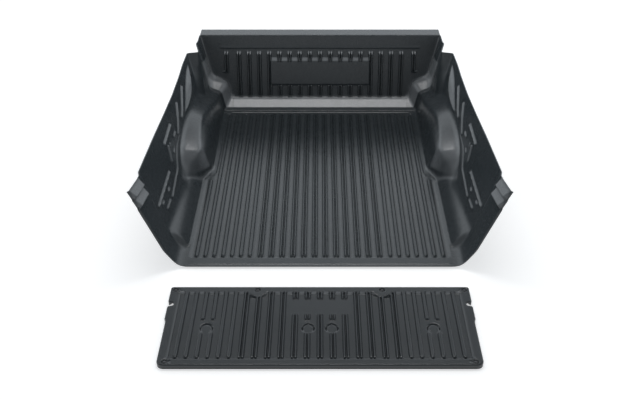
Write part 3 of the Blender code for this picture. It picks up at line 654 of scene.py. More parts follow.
def strip_inside(off, along, half, start, end, radius):
    """Distance inwards from the outline of a strip with rounded corners; outside it is negative."""
    across = np.abs(off) - (half - radius)
    endways = np.abs(along - 0.5 * (start + end)) - (0.5 * (end - start) - radius)
    outside = np.hypot(np.maximum(across, 0.0), np.maximum(endways, 0.0))
    return radius - outside - np.minimum(np.maximum(across, endways), 0.0)


def centred(count, pitch):
    """A count of places, a pitch apart, with their middle at 0."""
    return (np.arange(count) - 0.5 * (count - 1)) * pitch


def rib_row(pairs, singles=np.zeros(0)):
    """Middle lines of a row of ribs from left to right, and which of them are pairs of fingers."""
    middles = np.concatenate((-singles, pairs, singles))
    paired = np.concatenate((np.zeros(len(singles)), np.ones(len(pairs)), np.zeros(len(singles))))
    order = np.argsort(middles)
    return middles[order], paired[order] > 0.5


def nearest_rib(x, middles):
    """Offset of each point from the nearest middle line, and that line's number."""
    number = np.searchsorted(0.5 * (middles[:-1] + middles[1:]), x)
    return x - middles[number], number


def finger_share(off, along, start, end, paired):
    """How far up its rib a point is, 0 to 1, by the distance inside a finger's outline."""
    half = np.where(paired, PAIR_HALF, SINGLE_HALF)
    away = np.abs(off) - np.where(paired, PAIR_OFF, 0.0)
    return ease(strip_inside(away, along, half, start, end, half) / FINGER_RISE)


def beside_rib(off, paired):
    """Distance from a rib's outer side; on the rib it is negative."""
    return np.abs(off) - np.where(paired, PAIR_OFF + PAIR_HALF, SINGLE_HALF)


def both_sides(offsets):
    """The same offsets to the left and to the right of a middle line, with the middle itself once."""
    return np.concatenate((-np.array(offsets[:0:-1]), offsets))


def rib_columns(middles, paired):
    """Column places: the corners of each rib on both sides of its middle, and the lines between ribs."""
    places = [0.5 * (middles[:-1] + middles[1:])]
    for offsets, kind in ((PAIR_COLUMNS, paired), (SINGLE_COLUMNS, ~paired)):
        places.append((middles[kind][:, None] + both_sides(offsets)[None, :]).ravel())
    return np.sort(np.concatenate(places))


def squeezed(x, inner, full, wanted):
    """Columns past the inner line moved so that the last one lies at the wanted half width."""
    past = np.maximum(np.abs(x) - inner, 0.0)
    return np.sign(x) * (np.minimum(np.abs(x), inner) + past * (wanted - inner) / (full - inner))


print("a pair of fingers is", round(2000.0 * (PAIR_OFF + PAIR_HALF), 1), "mm wide")

# %% [markdown]
# The floor is one long profile drawn across the bed, with a shallow pan pressed into it and the ribs
# standing in the pan. It needs many rows only where ribs and pan end and where its edge bends round
# the arch, so in between it takes just a few of the side's rows. A painted highlight makes the valleys
# between the ribs a little lighter, more so towards the tailgate.

# %% Ribbed floor
FLOOR_PAIR_COUNT = 12
FLOOR_PAIR_PITCH = 0.0491
FLOOR_SINGLE_COUNT = 7
FLOOR_SINGLE_PITCH = 0.0400
FLOOR_SINGLE_FIRST = 0.3185
FLOOR_PAIRS = centred(FLOOR_PAIR_COUNT, FLOOR_PAIR_PITCH)
FLOOR_SINGLES = FLOOR_SINGLE_FIRST + FLOOR_SINGLE_PITCH * np.arange(FLOOR_SINGLE_COUNT)
FLOOR_EDGE_COLUMNS = (0.580, 0.586, FLOOR_SIDE)
FINE_ROWS = ((-0.001, 0.096), (0.660, 0.765), (1.352, 1.400))
COARSE_ROWS = ((0.130, 0.650), (0.780, 1.345))
COARSE_STEP = 0.06
OUTER_SQUEEZE = 0.535
INNER_SQUEEZE = 0.4985
SHORT_FROM = 0.540
FLOOR_RIB_START = 0.070
FLOOR_RIB_END = 1.372
SHORT_RIB_END = 0.690
PAN_START = 0.056
PAN_END = 1.382
PAN_HALF = 0.5410
PAN_EDGE_HALF = 0.5905
PAN_SLANT = 2.1
PAN_SLOPE = 0.008
PAN_CORNER = 0.010
PAN_MARGIN = 0.0035
GROOVE_RUN = 0.0110
GROOVE_HALF = 0.0045
GROOVE_DEPTH = 0.0020
GROOVE_MARGIN = 0.004
GROOVE_FADE = 0.02
UNDER_HOLLOW = 0.0040
UNDER_HALF = 0.0110
UNDER_SLOPE = 0.0060
UNDER_START = 0.080
UNDER_FADE = 0.02
VALLEY_RUNS = (0.90, 1.20)
VALLEY_HIGHLIGHT = (0.21, 0.05)
VALLEY_EDGE = 0.0015
VALLEY_RISE = 0.0045


def floor_rows():
    """Numbers of the side's rows that the floor uses: all in the fine stretches, few in the coarse ones."""
    runs = side_run[:LEDGE_ROW + 1, 0]
    wanted = [runs[(runs > start) & (runs < end)] for start, end in FINE_ROWS]
    wanted = wanted + [np.arange(start, end, COARSE_STEP) for start, end in COARSE_ROWS]
    return odd_count(np.unique(np.searchsorted(runs, np.concatenate(wanted) - NUDGE)))


def floor_columns(columns, half):
    """Columns for each row, squeezed to the floor's half width there: outside the ribs, then further in."""
    x = squeezed(columns, OUTER_SQUEEZE, FLOOR_SIDE, np.maximum(half, ARCH_SIDE))
    further = squeezed(x, INNER_SQUEEZE, ARCH_SIDE, np.minimum(half, ARCH_SIDE))
    return np.where(np.abs(x) <= ARCH_SIDE, further, x)


def floor_grids():
    """Floor: the side's inner border is the long profile, the same in every column.

    The seen face is the profile, less the pan's depth inside the pan, plus the fingers, less a groove
    along the rear edge. The hidden face lies a sheet below the pan, with a shallow hollow under each rib.
    """
    profile = side[floor_rows(), 0]
    half = profile[:, :1]
    middles, paired = rib_row(FLOOR_PAIRS, FLOOR_SINGLES)
    edge = np.array(FLOOR_EDGE_COLUMNS)
    columns = odd_count(np.concatenate((-edge[::-1], rib_columns(middles, paired), edge)))
    x = floor_columns(columns[None, :], half)
    run = profile[:, 1:2] - TUB_REAR + 0.0 * x
    height = profile[:, 2:3] + 0.0 * x
    pan_half = np.clip(PAN_HALF + (ARCH_FOOT_RUN - run) / PAN_SLANT, PAN_HALF, PAN_EDGE_HALF)
    pan_half = np.minimum(pan_half, half - PAN_MARGIN)
    sunk = ease(strip_inside(x, run, pan_half, PAN_START, PAN_END, PAN_CORNER) / PAN_SLOPE)
    off, number = nearest_rib(x, middles)
    end = np.where(np.abs(x) > SHORT_FROM, SHORT_RIB_END, FLOOR_RIB_END)
    fingers = finger_share(off, run, FLOOR_RIB_START, end, paired[number])
    groove = GROOVE_DEPTH * ease(1.0 - np.abs(run - GROOVE_RUN) / GROOVE_HALF)
    groove = groove * ease((FLOOR_SIDE - GROOVE_MARGIN - np.abs(x)) / GROOVE_FADE)
    high = height - CHANNEL_DEPTH * sunk * (1.0 - fingers) - groove
    hollow = ease((UNDER_HALF - np.abs(off)) / UNDER_SLOPE) * ease((run - UNDER_START) / UNDER_FADE)
    hollow = hollow * ease((end - run) / UNDER_FADE)
    low = height - SHEET - (CHANNEL_DEPTH - UNDER_HOLLOW * hollow) * sunk
    # Painted highlight: the valleys between the ribs get a lighter grey, more so towards the tailgate.
    valley = ease((beside_rib(off, paired[number]) - VALLEY_EDGE) / VALLEY_RISE)
    painted_highlight = np.interp(run, VALLEY_RUNS, VALLEY_HIGHLIGHT) * sunk * valley
    y = run + TUB_REAR
    return np.stack((x, y, high), axis=2), np.stack((x, y, low), axis=2)[::2, ::2], painted_highlight


floor_top, floor_under, floor_highlight = floor_grids()
tub_floor = add_piece("tub_floor", *sheet_shell(floor_top, floor_under), floor_highlight)

# %% [markdown]
# The front wall rises from a sloping ledge, leans a little towards the cab and turns into a flat lip
# that lies on the bed's front rail. Its ribs are pairs of fingers standing upright, whose tops slope
# back into the wall, and a smooth plate about half as high covers the middle. The grid continues the
# floor's long profile, and the relief is added along the normals because the wall stands upright. The
# ledge, the tops of the ribs and the plate's top edge get a painted highlight, a lighter grey where they
# face upwards, and the last two are found by how far their normals point upwards.

# %% Front wall, ledge and lip
FRONT_PAIR_COUNT = 17
FRONT_PAIR_PITCH = 0.0588
FRONT_PAIRS = centred(FRONT_PAIR_COUNT, FRONT_PAIR_PITCH)
OUTER_RIB = 0.543
OUTER_RIB_LOW = 0.200
FRONT_INNER = 0.4985
FRONT_COLUMN_GAP = 0.002
FRONT_SPARE = 20
FRONT_RIB_LOW = 0.066
FRONT_RIB_HIGH = 0.322
FRONT_RIB_RAMP = 0.0130
FRONT_RIB_HEIGHT = 0.0120
PLATE_HALF = 0.290
PLATE_LOW = 0.127
PLATE_HIGH = 0.289
PLATE_HEIGHT = 0.0065
PLATE_RAMP = 0.0205
PLATE_EDGE = 0.004
BEAD_HEIGHT = 0.345
BEAD_HALF = 0.008
BEAD_RISE = 0.0022
WALL_EASE = 0.004
RELIEF_TOP = 0.40
LEDGE_HIGHLIGHT = 0.90
TOP_HIGHLIGHT = 1.00
TOP_HIGHLIGHT_LOWEST = PLATE_LOW + PLATE_RAMP
TOP_HIGHLIGHT_HIGHEST = 0.33
TILT_FROM = 0.30
TILT_EASE = 0.20


def front_relief(x, height):
    """Fingers with sloping tops, or the plate, whichever is higher, plus a bead along the wall.

    The bead rises by half of one plus the cosine of the distance from its middle. The fingers stop at
    the plate's flat part and go on from its sloping top edge.
    """
    middles, paired = rib_row(np.concatenate((FRONT_PAIRS, (-OUTER_RIB, OUTER_RIB))))
    off, number = nearest_rib(x, middles)
    low = np.where(np.abs(middles[number]) > FRONT_INNER, OUTER_RIB_LOW, FRONT_RIB_LOW)
    fingers = finger_share(off, height, low, FRONT_RIB_HIGH, paired[number])
    fingers = fingers * np.clip((FRONT_RIB_HIGH - height) / FRONT_RIB_RAMP, 0.0, 1.0)
    sides = ease((PLATE_HALF - np.abs(x)) / PLATE_EDGE) * ease((height - PLATE_LOW) / PLATE_EDGE)
    plate = sides * np.clip((PLATE_HIGH - height) / PLATE_RAMP, 0.0, 1.0)
    inside = sides * (height < PLATE_HIGH - PLATE_RAMP)
    bead = np.clip(np.abs(height - BEAD_HEIGHT) / BEAD_HALF, 0.0, 1.0)
    bead = BEAD_RISE * 0.5 * (1.0 + np.cos(math.pi * bead))
    return np.maximum(FRONT_RIB_HEIGHT * fingers * (1.0 - inside), PLATE_HEIGHT * plate) + bead


def front_columns():
    """Columns of the front: the ribs' corners, and past the inner line those of the outer pair."""
    inner = rib_columns(*rib_row(FRONT_PAIRS))
    inner = inner[np.abs(inner) < FRONT_INNER - FRONT_COLUMN_GAP]
    outer = np.concatenate(([FRONT_INNER], OUTER_RIB + both_sides(PAIR_COLUMNS), [FRONT_SIDE]))
    columns = np.concatenate((-outer[::-1], inner, outer))
    return odd_count(columns, len(columns) // 2 + FRONT_SPARE)


def front_grids():
    """Front: the long profile from the ledge on, the same in every column, relief along the normals."""
    profile = side[odd_count(np.arange(LEDGE_ROW, len(row_runs))), 0]
    x = squeezed(front_columns()[None, :], FRONT_INNER, FRONT_SIDE, profile[:, :1])
    points = np.stack(np.broadcast_arrays(x, profile[:, 1:2], profile[:, 2:3]), axis=2)
    normal = grid_normals(points)
    run = points[:, :, 1] - TUB_REAR
    height = points[:, :, 2]
    on_wall = ease((run - FRONT_RUN) / WALL_EASE)
    raised = front_relief(points[:, :, 0], height) * on_wall * (height < RELIEF_TOP)
    top = points + raised[:, :, None] * normal
    # Painted highlight: the ledge and the up-facing rib tops and plate edge get a lighter grey.
    high_up = (height > TOP_HIGHLIGHT_LOWEST) * (height < TOP_HIGHLIGHT_HIGHEST)
    tilted = ease((grid_normals(top)[:, :, 2] - TILT_FROM) / TILT_EASE) * on_wall * high_up
    painted_highlight = np.maximum(LEDGE_HIGHLIGHT * ledge_band(run, FRONT_RUN), TOP_HIGHLIGHT * tilted)
    return top, (points - SHEET * normal)[::2, ::2], painted_highlight


front_top, front_under, front_highlight = front_grids()
tub_front = add_piece("tub_front", *sheet_shell(front_top, front_under), front_highlight)

# %% [markdown]
# The tailgate liner is a flat panel with a turned edge all round. Its outline has round near corners,
# a small jog, and on each side an open slot for the tailgate's strap, where the edge is turned down
# less. The grid is stretched at its two ends to that outline, and rings of points round off the edge,
# go down to the ground and come back up inside, so that the panel is a real thin tray and not a slab.

# %% Outline of the tailgate liner
PANEL_DEPTH = panel_high.y - panel_low.y
PANEL_HEIGHT = panel_high.z
PANEL_REAR = panel_low.y
PANEL_FAR_HALF = panel_high.x
PANEL_JOG = 0.250
PANEL_JOG_RUN = 0.0055
PANEL_JOG_IN = 0.0055
PANEL_CORNER = 0.022
PANEL_FAR_CORNER = 0.006
SLOT_AT = 0.345
SLOT_HALF = 0.015
SLOT_DEPTH = 0.025


def panel_half(along):
    """Half width of the panel's outline: jog, round corners as circle arcs, and the strap slot."""
    half = np.interp(along, (PANEL_JOG - PANEL_JOG_RUN, PANEL_JOG + PANEL_JOG_RUN),
                     (PANEL_FAR_HALF - PANEL_JOG_IN, PANEL_FAR_HALF))
    near = np.clip(PANEL_CORNER - along, 0.0, PANEL_CORNER)
    half = half - PANEL_CORNER + np.sqrt(PANEL_CORNER ** 2 - near ** 2)
    far = np.clip(along - PANEL_DEPTH + PANEL_FAR_CORNER, 0.0, PANEL_FAR_CORNER)
    half = half - PANEL_FAR_CORNER + np.sqrt(PANEL_FAR_CORNER ** 2 - far ** 2)
    across = np.clip(np.abs(along - SLOT_AT) / SLOT_HALF, 0.0, 1.0)
    inner = SLOT_DEPTH - SLOT_HALF + SLOT_HALF * np.sqrt(1.0 - across * across)
    return half - np.where(across < 1.0, inner, 0.0)


print("tailgate liner", round(2.0 * PANEL_FAR_HALF, 3), "by", round(PANEL_DEPTH, 3), "m")

# %% [markdown]
# On top the panel has a pan with ribs again, and a smooth plate between them. Four round dishes are
# pressed in as ring grooves, which fade out at their near side, and the ribs stop short of them.
# Half-round pads stand at the far edge, and each screw has a seat of its own. At the far ends of the
# valleys a lighter grey is painted on as a highlight.

# %% Relief of the tailgate liner
PANEL_PAIR_COUNT = 13
PANEL_PAIR_PITCH = 0.0514
PANEL_SINGLE_COUNT = 6
PANEL_SINGLE_PITCH = 0.0418
PANEL_SINGLE_FIRST = 0.3555
PANEL_PAIRS = centred(PANEL_PAIR_COUNT, PANEL_PAIR_PITCH)
PANEL_SINGLES = PANEL_SINGLE_FIRST + PANEL_SINGLE_PITCH * np.arange(PANEL_SINGLE_COUNT)
PANEL_RIB_START = 0.039
PANEL_PAN_HALF = 0.5970
PANEL_PAN_START = 0.032
PANEL_PAN_END = 0.418
PANEL_PAN_DEPTH = 0.0075
PANEL_PAN_SLOPE = 0.0075
PANEL_PAN_CORNER = 0.012
PANEL_PLATE_HALF = 0.128
PANEL_PLATE_START = 0.288
PANEL_PLATE_END = 0.376
PANEL_PLATE_CORNER = 0.004
DISH_RADIUS = 0.0240
DISH_SLOPE = 0.0046
DISH_DEPTH = 0.0060
DISH_CLEAR = 0.0360
DISH_AT = 0.206
DISH_GAP_AT = 0.2155
DISH_PLACES = (0.460, 0.048)
DISH_RIB_REACH = 0.026
PAD_AT = 0.265
PAD_RADIUS = 0.040
SCREW_INSET = 0.020
FAR_SCREWS = PANEL_DEPTH - SCREW_INSET
NEAR_SCREW_HALF = 0.600
FAR_SCREW_HALF = 0.615
SCREW_PLACES = ((NEAR_SCREW_HALF, SCREW_INSET), (FAR_SCREW_HALF, FAR_SCREWS), (PAD_AT, FAR_SCREWS))
SEAT_RADIUS = 0.0125
SEAT_SLOPE = 0.003
SEAT_DEPTH = 0.006
PATCH_AT = 0.4140
PATCH_HALF = 0.0065
PATCH_EDGE = 0.003
PATCH_HIGHLIGHT = 1.00
panel_middles, panel_paired = rib_row(PANEL_PAIRS, PANEL_SINGLES)


def off_pads(x, along):
    """Distance from the nearest half-round pad; on the pad it is negative."""
    return np.hypot(np.abs(x) - PAD_AT, along - PANEL_DEPTH + SCREW_INSET) - PAD_RADIUS


def panel_relief(x, along):
    """Heights above the panel's top: less the pan's depth, plus fingers, less dishes, seats at the last.

    Plate and dishes end the fingers beside them. A dish is deepest on a circle round its middle, and
    its groove eases in from its near side to its middle. A seat replaces what is there by its depth.
    """
    pan = strip_inside(x, along, PANEL_PAN_HALF, PANEL_PAN_START, PANEL_PAN_END, PANEL_PAN_CORNER)
    sunk = ease(np.minimum(pan, off_pads(x, along)) / PANEL_PAN_SLOPE)
    off, number = nearest_rib(x, panel_middles)
    fingers = finger_share(off, along, PANEL_RIB_START, PANEL_DEPTH, panel_paired[number])
    plate = strip_inside(
        x, along, PANEL_PLATE_HALF, PANEL_PLATE_START, PANEL_PLATE_END, PANEL_PLATE_CORNER)
    fingers = fingers * ease(-plate / FINGER_RISE)
    clear = ease((np.abs(along - DISH_GAP_AT) - DISH_CLEAR) / FINGER_RISE)
    fading = ease((along - DISH_AT + DISH_RADIUS) / DISH_RADIUS)
    dish = np.zeros_like(x)
    for place in DISH_PLACES:
        away = np.hypot(np.abs(x) - place, along - DISH_AT)
        beside = np.abs(np.abs(panel_middles[number]) - place) < DISH_RIB_REACH
        fingers = fingers * np.where(beside, clear, 1.0)
        dish = np.maximum(dish, fading * ease(1.0 - np.abs(away - DISH_RADIUS) / DISH_SLOPE))
    height = -PANEL_PAN_DEPTH * sunk * (1.0 - fingers) - DISH_DEPTH * dish
    for place, at in SCREW_PLACES:
        away = np.hypot(np.abs(x) - place, along - at)
        seat = ease((SEAT_RADIUS - away) / SEAT_SLOPE)
        height = height + seat * (-SEAT_DEPTH - height)
    return height


def far_highlights(x, along):
    """Painted highlight patches on the pan's far slope: one at the end of each valley, none on ribs and
    pads.
    """
    off, number = nearest_rib(x, panel_middles)
    valley = ease(beside_rib(off, panel_paired[number]) / PATCH_EDGE)
    valley = valley * (np.abs(x) < PANEL_PAN_HALF - PATCH_HALF)
    at_end = ease(1.0 - np.abs(along - PATCH_AT) / PATCH_HALF)
    return PATCH_HIGHLIGHT * valley * at_end * ease(off_pads(x, along) / PATCH_HALF)


print(len(panel_middles), "ribs,", 2 * len(DISH_PLACES), "dishes and", 2 * len(SCREW_PLACES), "screw seats")

# %% Shell of the tailgate liner
ROUND_COLUMNS = (
    0.0195, 0.0217, 0.0240, 0.0263, 0.0286, 0.0325, 0.0697, 0.0720, 0.0743, 0.0765, 0.2265, 0.2310, 0.2355,
    0.2780, 0.2825, 0.2870, 0.590, 0.5945)
STRETCH_FROM = 0.604
END_COLUMNS = 12
PANEL_SPARE = 8
PANEL_STRETCHES = (
    (0.0, 0.044, 0.0022), (0.044, 0.160, 0.012), (0.160, 0.250, 0.0036), (0.250, 0.280, 0.0038),
    (0.280, 0.300, 0.0034), (0.300, 0.328, 0.005), (0.328, 0.362, 0.0026), (0.362, 0.384, 0.0034),
    (0.384, 0.408, 0.004), (0.408, PANEL_DEPTH, 0.0023))
EDGE_RADIUS = 0.005
EDGE_TURNS = np.radians((22.5, 45.0, 67.5, 90.0))
SLOT_FLANGE = 0.0155
SLOT_INNER = 0.0165
SLOT_EASE = 0.004
SLOT_REACH = 1.5 * SLOT_HALF
PANEL_UNDER_LEVEL = 0.0090
PANEL_UNDER_EASE = 0.006


def panel_grid(inset):
    """The panel's top inside its rounded edge, as x and distance from the rear edge.

    Columns past the stretch line share out what is left to the outline, less the inset.
    """
    extra = np.array(ROUND_COLUMNS)
    columns = np.sort(np.concatenate((-extra, rib_columns(panel_middles, panel_paired), extra)))
    ends = STRETCH_FROM + np.linspace(0.0, 1.0, END_COLUMNS) * (PANEL_FAR_HALF - STRETCH_FROM)
    columns = np.concatenate((-ends[::-1], columns, ends))
    columns = odd_count(columns, np.argmin(np.abs(columns)) + PANEL_SPARE)
    rows = odd_count(spaced(PANEL_STRETCHES))
    past = np.clip((np.abs(columns) - STRETCH_FROM) / (PANEL_FAR_HALF - STRETCH_FROM), 0.0, 1.0)
    reach = panel_half(rows)[:, None] - inset - STRETCH_FROM
    x = np.sign(columns) * (np.minimum(np.abs(columns), STRETCH_FROM) + past * reach)
    squeeze = 1.0 - 2.0 * inset / PANEL_DEPTH
    return x, inset + rows[:, None] * squeeze + 0.0 * x


def outline_rings(loop, levels):
    """Rings round the panel: the border moved outwards in plan by the first number, at the second.

    In the strap slots the edge is turned down less, so there the level is the third number.
    """
    inward = PANEL_FAR_HALF - EDGE_RADIUS - SLOT_EASE - np.abs(loop[:, 0])
    beside = np.abs(loop[:, 1] - PANEL_REAR - SLOT_AT) < SLOT_REACH
    slot = ease(inward / SLOT_EASE) * beside
    step = np.roll(loop, -1, axis=0) - np.roll(loop, 1, axis=0)
    normal = np.stack((step[:, 1], -step[:, 0]), axis=1)
    normal = normal / np.maximum(np.linalg.norm(normal, axis=1, keepdims=True), LEAST_LENGTH)
    rings = []
    for out, level, slot_level in levels:
        height = level + slot * (slot_level - level)
        rings.append(np.concatenate((loop + out * normal, height[:, None]), axis=1))
    return rings


def panel_grids():
    """The seen grid, the rings of the turned edge, the hidden grid at half the points, and the painted
    highlight.

    The hidden face lies a sheet below the pan or the relief, whichever is lower, and higher at the ends.
    """
    x, along = panel_grid(EDGE_RADIUS)
    heights = panel_relief(x, along)
    top = np.stack((x, PANEL_REAR + along, PANEL_HEIGHT + heights), axis=2)
    rim = border(np.arange(x.size).reshape(x.shape))
    outs = EDGE_RADIUS * np.sin(EDGE_TURNS)
    drops = PANEL_HEIGHT - EDGE_RADIUS * (1.0 - np.cos(EDGE_TURNS))
    levels = list(zip(outs, drops, drops))
    levels.append((EDGE_RADIUS, 0.0, SLOT_FLANGE))
    levels.append((EDGE_RADIUS - SHEET, 0.0, SLOT_FLANGE))
    levels.append((EDGE_RADIUS - SHEET, PANEL_UNDER_LEVEL, SLOT_INNER))
    rings = outline_rings(top.reshape(-1, 3)[rim][:, :2], levels)
    sunk = -PANEL_PAN_DEPTH * ease((STRETCH_FROM - np.abs(x)) / PANEL_UNDER_EASE)
    low = np.minimum(sunk, heights) - SHEET
    under = np.stack((x, PANEL_REAR + along, PANEL_HEIGHT + low), axis=2)[::2, ::2]
    return top, rings, under, far_highlights(x, along)


panel_top, panel_rings, panel_under, panel_highlight = panel_grids()
panel_shell = sheet_shell(panel_top, panel_under, panel_rings)
tailgate_panel = add_piece("tailgate_panel", *panel_shell, panel_highlight)

# %% [markdown]
# Shader maths reads best as plain sums, so one small class wraps a socket: adding or multiplying two
# wires adds a Math node, and one method makes every other kind of node, with its settings first and
# then its sockets.

# %% Wires for shader nodes
class Wire:
    """A socket of a node tree that can be added, subtracted, multiplied and linked."""

    def __init__(self, tree, socket=None):
        self.tree = tree
        self.socket = socket

    def node(self, kind, settings=None, inputs=None, output=0):
        """Adds a node: settings are its own properties or a ramp's stops, inputs are values or wires."""
        made = self.tree.nodes.new(kind)
        for name, value in (settings or {}).items():
            if name == "stops":
                for index, (place, level) in enumerate(value):
                    stops = made.color_ramp.elements
                    stop = stops[index] if index < len(stops) else stops.new(place)
                    stop.position = place
                    stop.color = (level, level, level, 1.0)
            else:
                setattr(made, name, value)
        for name, value in (inputs or {}).items():
            if isinstance(value, Wire):
                self.tree.links.new(value.socket, made.inputs[name])
            else:
                made.inputs[name].default_value = value
        return Wire(self.tree, made.outputs[output]) if made.outputs else made

    def math(self, operation, first, second):
        """A Math node on two numbers or wires."""
        return self.node("ShaderNodeMath", {"operation": operation}, {0: first, 1: second})

    def __add__(self, other):
        return self.math("ADD", self, other)

    __radd__ = __add__

    def __sub__(self, other):
        return self.math("SUBTRACT", self, other)

    def __rsub__(self, other):
        return self.math("SUBTRACT", other, self)

    def __mul__(self, other):
        return self.math("MULTIPLY", self, other)

    __rmul__ = __mul__

    def at_most(self, other):
        """The lower of the two."""
        return self.math("MINIMUM", self, other)


def new_material(name):
    """An empty node material and a wire to start from."""
    material = bpy.data.materials.new(name)
    material.use_nodes = True
    material.node_tree.nodes.clear()
    return material, Wire(material.node_tree)


def noise(start, place, scale, detail):
    """Noise from 0 to 1 at a place: the scale is about the count of its waves in a metre."""
    sockets = {"Vector": place, "Scale": scale, "Detail": detail}
    return start.node("ShaderNodeTexNoise", None, sockets, "Fac")


def mixed(start, share, first, second):
    """Two colours mixed by a share: sockets 0, 6 and 7 of a Mix node set to colours, and its output 2."""
    return start.node("ShaderNodeMix", {"data_type": "RGBA"}, {0: share, 6: first, 7: second}, 2)


def finish_surface(start, shader):
    """Links a shader to the material's output."""
    start.node("ShaderNodeOutputMaterial", None, {"Surface": shader})


print("shader wires ready")

# %% [markdown]
# Both mouldings are charcoal polyethylene, the tailgate liner a little darker and glossier. The skin
# has a fine moulded grain, so it looks satin and not shiny, and its gloss changes a little from place
# to place where the sheet was stretched over the mould. Noise on Object coordinates gives all of this
# at real sizes: a grain of about a millimetre in the bump, and slow changes over centimetres in colour
# and roughness. The painted highlight of each point, read as an attribute, mixes in a lighter grey.

# %% Liner plastic
DRIFT_SCALE = 5.0
DRIFT_DETAIL = 4.0
SPECK_SCALE = 420.0
GRAIN_SCALE = 900.0
FINE_DETAIL = 2.0
DRIFT_SHARE = 0.7
SPECK_SHARE = 0.3
NOISE_MIDDLE = 0.5
SPECK_GLOSS = 0.06
GRAIN_STRENGTH = 0.35
GRAIN_DEPTH = 0.0004
# The lighter grey painted on as a highlight wherever the attribute marks one.
HIGHLIGHT_GREY = (0.24, 0.25, 0.26, 1.0)


def liner_plastic(name, dark, light, rough_low, rough_high, specular):
    """Moulded plastic: two greys mixed by slow noise and specks, a lighter grey mixed in by the painted
    highlight attribute.

    Slow noise makes the painted highlight uneven and lets the roughness drift, and fine noise is the bump's
    grain.
    """
    material, start = new_material(name)
    place = start.node("ShaderNodeTexCoord", None, None, "Object")
    drift = noise(start, place, DRIFT_SCALE, DRIFT_DETAIL)
    speck = noise(start, place, SPECK_SCALE, FINE_DETAIL)
    grain = noise(start, place, GRAIN_SCALE, FINE_DETAIL)
    painted_highlight = start.node("ShaderNodeAttribute", {"attribute_name": "painted_highlight"}, None, "Fac")
    highlight_share = (painted_highlight * (NOISE_MIDDLE + drift)).at_most(1.0)
    clean = mixed(start, drift * DRIFT_SHARE + speck * SPECK_SHARE, dark, light)
    colour = mixed(start, highlight_share, clean, HIGHLIGHT_GREY)
    rough = rough_low + drift * (rough_high - rough_low) + (speck - NOISE_MIDDLE) * SPECK_GLOSS
    bump = start.node("ShaderNodeBump", None, {
        "Strength": GRAIN_STRENGTH, "Distance": GRAIN_DEPTH, "Height": grain})
    shader = start.node("ShaderNodeBsdfPrincipled", None, {
        "Base Color": colour, "Roughness": rough, "Normal": bump, "Specular IOR Level": specular})
    finish_surface(start, shader)
    return material


def dress(piece, material, body, node):
    """Gives a piece its material and its body, and hides the imported node that it stands for."""
    piece.data.materials.clear()
    piece.data.materials.append(material)
    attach(piece, body)
    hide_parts(node)


sheet_plastic = liner_plastic(
    "sheet_plastic", dark=(0.029, 0.0355, 0.0395, 1.0), light=(0.040, 0.047, 0.052, 1.0),
    rough_low=0.24, rough_high=0.31, specular=0.6)
panel_plastic = liner_plastic(
    "panel_plastic", dark=(0.017, 0.021, 0.024, 1.0), light=(0.023, 0.028, 0.032, 1.0),
    rough_low=0.20, rough_high=0.26, specular=0.6)
for piece in (tub_floor, tub_front, tub_left, tub_right):
    dress(piece, sheet_plastic, "tub", "bed_tub")
dress(tailgate_panel, panel_plastic, "tailgate", "tailgate_liner")
print("liner plastic on 5 pieces")

# %% [markdown]
# Screws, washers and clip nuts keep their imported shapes. They only need finishes: black nylon for the
# washers, black zinc for the screws, and bright zinc for the clips. Noise stretched along one axis
# gives the metal a faint brushed streak.

# %% Fastener finishes
STREAK_STRETCH = (900.0, 140.0, 900.0)
STREAK_SCALE = 1.0
STREAK_DETAIL = 3.0
STREAK_STRENGTH = 0.2
STREAK_DEPTH = 0.0001
STREAK_GLOSS = 0.12


def metal_finish(name, dark, bright, rough, metallic):
    """Coated steel: two colours mixed by fine streaky noise, which also drives roughness and bump."""
    material, start = new_material(name)
    place = start.node("ShaderNodeTexCoord", None, None, "Object")
    stretched = start.node("ShaderNodeMapping", None, {"Vector": place, "Scale": STREAK_STRETCH})
    streak = noise(start, stretched, STREAK_SCALE, STREAK_DETAIL)
    bump = start.node("ShaderNodeBump", None, {
        "Strength": STREAK_STRENGTH, "Distance": STREAK_DEPTH, "Height": streak})
    shader = start.node("ShaderNodeBsdfPrincipled", None, {
        "Base Color": mixed(start, streak, dark, bright), "Roughness": rough + streak * STREAK_GLOSS,
        "Normal": bump, "Metallic": metallic})
    finish_surface(start, shader)
    return material


washer_nylon = liner_plastic(
    "washer_nylon", dark=(0.018, 0.019, 0.020, 1.0), light=(0.028, 0.029, 0.030, 1.0),
    rough_low=0.40, rough_high=0.50, specular=0.5)
screw_zinc = metal_finish(
    "screw_zinc", dark=(0.09, 0.09, 0.10, 1.0), bright=(0.16, 0.16, 0.17, 1.0), rough=0.30, metallic=0.8)
clip_zinc = metal_finish(
    "clip_zinc", dark=(0.45, 0.46, 0.47, 1.0), bright=(0.62, 0.63, 0.64, 1.0), rough=0.28, metallic=1.0)
FASTENER_FINISHES = (("_washer", washer_nylon), ("_screw", screw_zinc), ("_clip_nut", clip_zinc))
for node_name, node_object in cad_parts.items():
    for ending, material in FASTENER_FINISHES:
        if node_name.endswith(ending):
            node_object.data.materials.clear()
            node_object.data.materials.append(material)
print("fasteners finished")

# %% [markdown]
# The studio is a white floor under a soft light, inside a bright room. The floor is a little bright by
# itself to the camera, so it reads as white paper, and the rest of its light comes from the lamp and
# the room, so the object still leaves a soft shadow on it. The room is what the satin plastic mirrors:
# its walls are bright and its ceiling is dim, and it is dimmer on the camera's side.

# %% Studio floor
PAPER_HALF = 90.0
PAPER_DROP = 0.0005
PAPER_COLOUR = (0.8, 0.8, 0.8, 1.0)
GLOW_COLOUR = (1.0, 1.0, 1.0, 1.0)
GLOW_STRENGTH = 0.55


